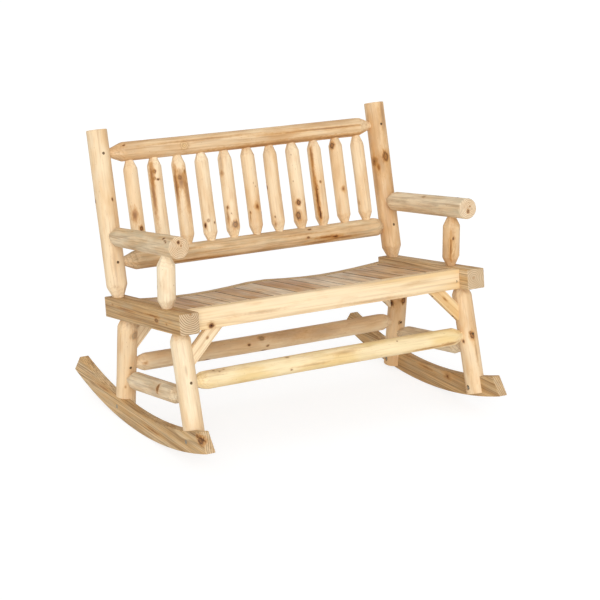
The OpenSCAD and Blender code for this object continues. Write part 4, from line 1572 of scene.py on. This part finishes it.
@dataclass
class Arms:
    """Armrests rounded over to tenons in the posts, each on a short log that leans forward."""

    height: float = 197 * MM
    front_y: float = 28 * MM
    length: float = 462.4 * MM
    front: End = End(EndKind.SAWN, 4 * MM)
    rear: End = End(EndKind.DOME, 34 * MM, 18 * MM, 19 * MM)
    front_r: float = 34.5 * MM
    rear_r: float = 33 * MM
    left_slim: float = 2.5 * MM
    support_y: float = 145 * MM
    support_lean: float = 7.2
    support_r: float = 28.5 * MM
    support_l: float = 164.1 * MM
    support_point: End = End(EndKind.POINT, 30 * MM, 15 * MM, 24 * MM)

    def build(self) -> None:
        """Builds both armrests, the left one thinner at its rear, and both supports."""
        seat = STANCE.seat
        a = math.radians(self.support_lean)
        leaning = (0, -math.sin(a), math.cos(a))
        ends = (self.front, self.rear)
        points = (self.support_point, self.support_point)
        for side in Side:
            x = side.value * STANCE.post_x
            rear_r = self.rear_r - (self.left_slim if side is Side.LEFT else 0)
            place = axis_frame(seat, (x, self.front_y, self.height), REARWARD, LEFTWARD)
            node = f"armrest_{side.label}"
            Log(node, place, self.length, self.front_r, *ends, high_radius=rear_r).build()
            place = axis_frame(seat, (x, self.support_y, 0), leaning, FORWARD)
            node = f"arm_support_{side.label}"
            Log(node, place, self.support_l, self.support_r, *points).build()


# Boards


BOARD_SHIFT_PER_SEED = 1.3


@dataclass
class Board:
    """A sawn board: an outline given a thickness, its edges eased."""

    node: str
    place: np.ndarray
    outline: np.ndarray
    thickness: float
    grain: np.ndarray
    ease: float = 2 * MM

    @property
    def look(self) -> Look:
        """What sets this board apart."""
        return LOOKS[self.node]

    @property
    def shift(self) -> float:
        """Distance along the fibres that sets this board's pattern apart."""
        return BOARD_SHIFT_PER_SEED * self.look.seed

    def material(self) -> bpy.types.Material:
        """The finish with the board's own knots."""
        inverse = np.linalg.inv(self.grain)
        spots = []
        for mark in self.look.marks:
            x, y, z = placed(np.array(mark.at) * MM, inverse).tolist()
            spots.append(Spot((x, y, z + self.shift), mark))
        return self.look.finish.material("Softwood, " + self.node.replace("_", " "), spots)

    def build(
        self,
        cutters: Sequence[bpy.types.Object] = (),
        material: bpy.types.Material | None = None,
        slot: str = "sawn_board",
    ) -> bpy.types.Mesh:
        """Builds, carves and dresses the board.

        Args:
            cutters: Closed objects to cut out of it.
            material: Finish that several boards share, or None for its own.
            slot: Name of the finish's slot; not used.

        Returns:
            The board's mesh.
        """
        obj = prism("sawn_" + self.node, self.place, self.outline, self.thickness)
        bevel = obj.modifiers.new("ease", "BEVEL")
        bevel.width = self.ease
        bevel.segments = EASE_STEPS
        bevel.limit_method = "ANGLE"
        bevel.angle_limit = math.radians(EASE_ANGLE)
        freeze(obj)
        if cutters:
            carve(obj, cutters)
        smooth(obj.data)
        write_grain(obj.data, self.grain, self.shift, None, self.look.tone)
        dress(obj, material or self.material(), self.node)
        return obj.data


@dataclass
class Rockers:
    """Two boards sawn along an arc, with slanting ends and a sunk bolt at each leg."""

    length: float = 968 * MM
    thickness: float = 32 * MM
    end_cut: float = 46 * MM
    roll: float = 0.9
    lift: float = 0.05 * MM
    ease: float = 2.5 * MM
    bolt_head_r: float = 6.8 * MM
    bolt_head_t: float = 4.3 * MM
    low_points: int = 90
    high_points: int = 84
    pith_in: float = 300 * MM
    pith_h: float = 50 * MM

    def outline(self) -> np.ndarray:
        """Outline in y and z: two arcs round one centre, joined by slanting ends."""
        s = STANCE
        top_r = s.rocker_r - s.rocker_depth
        tip = self.length / 2
        low = np.linspace(-tip, tip, self.low_points)
        high = np.linspace(tip - self.end_cut, self.end_cut - tip, self.high_points)
        under = np.stack([low, self.lift - np.sqrt(s.rocker_r**2 - low**2)], axis=1)
        over = np.stack([high, -np.sqrt(top_r**2 - high**2)], axis=1)
        a = math.radians(-self.roll)
        turn = np.array(((math.cos(a), -math.sin(a)), (math.sin(a), math.cos(a))))
        return np.concatenate([under, over]) @ turn.T + (s.rocker_mid_y, s.rocker_r)

    def build(self) -> None:
        """Builds both rockers."""
        for side in Side:
            inward = (-side.value, 0, 0)
            outer = side.value * (STANCE.leg_x + self.thickness)
            start = outer if side is Side.LEFT else outer - self.thickness
            heads = [
                axis_frame(BENCH, (outer, *bolt), inward, UPWARD)
                for bolt in (Legs.front_bolt, Legs.rear_bolt)
            ]
            holes = [bore(head, self.bolt_head_r, -OVERRUN, self.bolt_head_t) for head in heads]
            pith = (outer - side.value * self.pith_in, 0, self.pith_h)
            grain = axis_frame(BENCH, pith, REARWARD, UPWARD)
            shape = (sideways(start), self.outline(), self.thickness)
            Board(f"rocker_{side.label}", *shape, grain, self.ease).build(holes)


@dataclass
class SeatFrame:
    """Side rails tipped back, cross rails, the scooped ledgers and the four braces."""

    rail_w: float = 66 * MM
    rail_l: float = 542 * MM
    left_pith: tuple[float, float] = (30 * MM, 6 * MM)
    right_pith: tuple[float, float] = (16 * MM, -20 * MM)
    cross_t: float = 38 * MM
    cross_pith: tuple[float, float] = (90 * MM, -20 * MM)
    front_y: float = 46 * MM
    front_ease: float = 2 * MM
    rear_y: float = 504 * MM
    rear_ease: float = 1 * MM
    ledger_t: float = 32 * MM
    ledger_ease: float = 0.5 * MM
    brace_reach: float = 106.7 * MM
    brace_w: float = 41 * MM
    brace_t: float = 22 * MM
    brace_wrap: float = 16.3 * MM
    brace_setback: float = 6 * MM
    brace_ease: float = 1.5 * MM
    brace_pith: tuple[float, float] = (30 * MM, -100 * MM)

    def build_side_rails(self) -> None:
        """Builds the side rails, whose ends show curved rings."""
        s = STANCE
        for side, (pith_x, pith_z) in zip(Side, (self.left_pith, self.right_pith)):
            x = side.value * s.seat_half_w
            inner = x if side is Side.RIGHT else x - self.rail_w
            grain = axis_frame(s.seat, (inner + pith_x, 0, pith_z), (0, 1, 0.02), UPWARD)
            outline = rectangle(inner, -s.rail_h, inner + self.rail_w, 0)
            shape = (s.seat @ endwise(self.rail_l), outline, self.rail_l)
            Board(f"side_rail_{side.label}", *shape, grain).build()

    def build_cross_boards(self, seam: np.ndarray, slat_t: float) -> None:
        """Builds the cross rails and ledgers.

        Args:
            seam: Points of the seat's curve in x and z, from left to right.
            slat_t: Thickness of the slats that lie on the ledgers.
        """
        s = STANCE
        flat = rectangle(-s.seat_half_w, -s.rail_h, s.seat_half_w, 0)
        scoop = np.concatenate([flat[:2], seam[::-1]])
        low_scoop = np.concatenate([flat[:2], (seam - (0, slat_t))[::-1]])
        pith_y, pith_z = self.cross_pith
        front, rear = self.front_y + self.cross_t, self.rear_y - self.ledger_t
        for node, outline, y, thickness, ease in (
            ("front_rail", flat, self.front_y, self.cross_t, self.front_ease),
            ("rear_rail", scoop, self.rear_y, self.cross_t, self.rear_ease),
            ("front_ledger", low_scoop, front, self.ledger_t, self.ledger_ease),
            ("rear_ledger", low_scoop, rear, self.ledger_t, self.ledger_ease),
        ):
            grain = axis_frame(s.seat, (0, y + pith_y, pith_z), RIGHTWARD, FORWARD)
            shape = (s.seat @ endwise(y + thickness), outline, thickness)
            Board(node, *shape, grain, ease).build()

    def build_braces(self) -> None:
        """Builds the braces, cut at 45 degrees and let against the legs."""
        s = STANCE
        near = self.brace_reach - self.brace_w * math.sqrt(2)
        corner = np.array(
            [
                (near, 0),
                (-self.brace_wrap, -near - self.brace_wrap),
                (-self.brace_wrap, -self.brace_reach - self.brace_wrap),
                (self.brace_reach, 0),
            ]
        )
        pith_y, pith_z = self.brace_pith
        for name, y in (
            ("front", self.front_y + self.cross_t / 2 + self.brace_setback),
            ("rear", self.rear_y - self.ledger_t + self.brace_t / 2),
        ):
            for side in Side:
                sign = side.value
                x = sign * (s.leg_x - Legs.radius)
                outline = corner * (-sign, 1) + (x, -s.rail_h)
                if side is Side.RIGHT:
                    outline = outline[::-1]
                grain = axis_frame(s.seat, (x, y + pith_y, pith_z), (-sign, 0, 1), FORWARD)
                shape = (s.seat @ endwise(y + self.brace_t / 2), outline, self.brace_t)
                Board(f"brace_{name}_{side.label}", *shape, grain, self.brace_ease).build()


@dataclass
class SeatSlats:
    """Fifteen boards laid front to back along a double scoop."""

    count: int = 15
    thickness: float = 19 * MM
    gap: float = 1.5 * MM
    strip_w: float = 31 * MM
    drop: float = 17 * MM
    scoop: float = 14 * MM
    y0: float = 84.5 * MM
    y1: float = 503.5 * MM
    ease: float = 1.8 * MM
    sink: float = 0.5
    joint_shade: float = 0.85
    front_lit: float = 1 * MM

    def seam(self) -> np.ndarray:
        """Seams in x and z: z = -drop - scoop |sin(pi x / half width)|, from left to right."""
        half = STANCE.seat_half_w
        inner = np.linspace(-half + self.strip_w, half - self.strip_w, self.count - 1)
        x = np.concatenate([[-half], inner, [half]])
        z = -self.drop - self.scoop * np.abs(np.sin(math.pi * x / half))
        return np.stack([x, z], axis=1)

    def shade_joints(self, slat: bpy.types.Mesh) -> None:
        """Marks a slat's sides, behind its front edge, for painted shade in the open joints."""
        seat = STANCE.seat
        normals = read(slat.vertices, "normal")
        upright = normals @ seat[:3, 2]
        across = np.abs(normals @ seat[:3, 0])
        # Painted shade: sides that face across, behind the lit front edge, darken as if in the
        # joints' shade
        hidden = np.where((upright < 0.9) & (across > 0.3), self.joint_shade, 0.0)
        y = placed(read(slat.vertices, "co"), np.linalg.inv(seat))[:, 1]
        store(slat, JOINT_SHADE_LAYER, hidden * (y > self.y0 + self.front_lit))

    def build(self, material: bpy.types.Material) -> None:
        """Builds the slats; each lies a fraction of a millimetre off its neighbours.

        Args:
            material: Finish of all the slats.
        """
        rng = np.random.default_rng(7)
        seam = self.seam()
        side = self.gap / 2
        for i, ((x0, z0), (x1, z1)) in enumerate(zip(seam, seam[1:])):
            slope = (z1 - z0) / (x1 - x0)
            a, b = (x0 + side, z0 + slope * side), (x1 - side, z1 - slope * side)
            lift = rng.uniform(-self.sink, 0) * MM
            outline = np.array(
                [
                    (a[0], a[1] - self.thickness),
                    (b[0], b[1] - self.thickness),
                    (b[0], b[1] + lift),
                    (a[0], a[1] + lift),
                ]
            )
            under = rng.uniform(30, 70) * MM
            aside = rng.uniform(-30, 30) * MM
            fibres = (rng.uniform(-0.03, 0.03), 1, rng.uniform(-0.04, 0.04))
            pith = ((x0 + x1) / 2 + aside, 0, z0 - under)
            grain = axis_frame(STANCE.seat, pith, fibres, UPWARD)
            shape = (STANCE.seat @ endwise(self.y1), outline, self.y1 - self.y0)
            slat = Board(f"seat_slat_{i + 1:02d}", *shape, grain, self.ease)
            self.shade_joints(slat.build(material=material, slot="seat_board"))


@dataclass
class Fastenings:
    """Screws, bolts and nuts, shown as the frame's own nodes."""

    screws: tuple[str, ...] = (
        "frame_screws",
        "brace_screws",
        "slat_screws",
        "armrest_screws",
    )
    bolts: tuple[str, ...] = ("rocker_bolts", "rocker_nuts")

    def dress(self) -> None:
        """Gives the hardware its steels."""
        for names, steel, title, slot in (
            (self.screws, SCREW_STEEL, "Brown-coated screw steel", "screw_steel"),
            (self.bolts, BOLT_STEEL, "Zinc-plated bolt steel", "bolt_steel"),
        ):
            material = steel.material(title)
            for name in names:
                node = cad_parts[name]
                node.data.materials.clear()
                node.data.materials.append(material)
                LOG.info("%s: %s", name, title)


# Studio


@dataclass
class Studio:
    """Camera, soft frontal light, and a pale floor on a white ground."""

    eye: tuple[float, float, float] = (-2.9409, -5.0680, 2.0827)
    aim: tuple[float, float, float] = (0.0492, 0.0, 0.3531)
    roll: float = 0.56
    lens: float = 111.23
    sensor: float = 36.0
    sight: float = 400.0
    sun_turn: float = -26.0
    sun_height: float = 19.0
    sun_strength: float = 1.62
    sun_spread: float = 35.0
    top_strength: float = 0.9
    top_spread: float = 120.0
    fill: float = 0.38
    fill_colour: tuple[float, float, float, float] = (1.0, 0.97, 0.93, 1)
    floor_half: float = 60.0
    floor_paint: str = "#F8F7F5"
    floor_tint: tuple[float, float, float, float] = (1.44, 1.48, 1.52, 1)
    floor_white: float = 0.8
    white: tuple[float, float, float, float] = (1, 1, 1, 1)

    def camera(self) -> None:
        """Sets the camera, a pinhole aimed at the bench and rolled by half a degree."""
        data = bpy.data.cameras.new("camera")
        data.sensor_width = self.sensor
        data.lens = self.lens
        data.clip_end = self.sight
        camera = bpy.data.objects.new("camera", data)
        bpy.context.scene.collection.objects.link(camera)
        eye, aim = Vector(self.eye), Vector(self.aim)
        back = (eye - aim).normalized()
        level = Vector(UPWARD).cross(back).normalized()
        upright = back.cross(level)
        a = math.radians(self.roll)
        right = level * math.cos(a) + upright * math.sin(a)
        turn = Matrix((right, back.cross(right), back)).transposed().to_4x4()
        camera.matrix_world = Matrix.Translation(eye) @ turn
        bpy.context.scene.camera = camera

    def sun(
        self, name: str, strength: float, spread: float, turn: float, height: float
    ) -> None:
        """Adds a sun.

        Args:
            name: Name of the light.
            strength: Power, in watts to a square metre.
            spread: Width of the sun in the sky, in degrees.
            turn: Direction that it stands in, in degrees from the front to the right.
            height: Angle above the floor, in degrees.
        """
        data = bpy.data.lights.new(name, "SUN")
        data.energy = strength
        data.angle = math.radians(spread)
        obj = bpy.data.objects.new(name, data)
        bpy.context.scene.collection.objects.link(obj)
        a, b = math.radians(turn), math.radians(height)
        towards = (math.sin(a) * math.cos(b), -math.cos(a) * math.cos(b), math.sin(b))
        obj.rotation_mode = "QUATERNION"
        obj.rotation_quaternion = Vector(towards).to_track_quat("Z", "Y")

    def light(self) -> None:
        """Adds the key by the camera, a broad light overhead, and an even fill."""
        self.sun("key", self.sun_strength, self.sun_spread, self.sun_turn, self.sun_height)
        self.sun("overhead", self.top_strength, self.top_spread, 0, 90)
        n = Nodes(bpy.data.worlds.new("studio"))
        seen = n.add("LightPath", output="Is Camera Ray")
        fill = n.add("Background", {"Color": self.fill_colour, "Strength": self.fill})
        ground = n.add("Background", {"Color": self.white})
        n.add("OutputWorld", {"Surface": n.add("MixShader", {0: seen, 1: fill, 2: ground})})
        bpy.context.scene.world = n.owner

    def floor(self) -> None:
        """Lays the floor, which the camera sees as white but for a light shadow."""
        h = self.floor_half
        corners = np.column_stack([rectangle(-h, -h, h, h), np.zeros(4)])
        obj = mesh_object("floor", corners, [(0, 1, 2, 3)])
        n = Nodes(bpy.data.materials.new("Studio floor paint"))
        camera = n.add("LightPath", output="Is Camera Ray")
        glossy = camera.node.outputs["Is Glossy Ray"]
        seen = n.add("Math", {0: camera, 1: glossy}, operation="MAXIMUM")
        tints = {0: seen, 6: linear(self.floor_paint), 7: self.floor_tint}
        paint = n.add("BsdfDiffuse", {"Color": n.add("Mix", tints, 2, data_type="RGBA")})
        white = n.add("Emission", {"Color": self.white, "Strength": 1.0})
        share = n.add("Math", {0: seen, 1: self.floor_white}, operation="MULTIPLY")
        both = n.add("MixShader", {0: share, 1: paint, 2: white})
        n.add("OutputMaterial", {"Surface": both})
        obj.data.materials.append(n.owner)

    def build(self) -> None:
        """Sets up camera, light and floor."""
        self.camera()
        self.light()
        self.floor()
        bpy.context.scene.view_settings.view_transform = "Standard"


def main() -> None:
    logging.basicConfig(level=logging.INFO, format="%(name)s %(message)s")
    seat = SEAT_BOARD_WITH_SHEEN.material("Sanded softwood seat board")
    slats = SeatSlats()
    seat_frame = SeatFrame()
    Rockers().build()
    Legs().build()
    Stretchers().build()
    seat_frame.build_side_rails()
    seat_frame.build_cross_boards(slats.seam(), slats.thickness)
    seat_frame.build_braces()
    slats.build(seat)
    Back().build()
    Arms().build()
    Fastenings().dress()
    Studio().build()


if __name__ == "__main__":
    main()
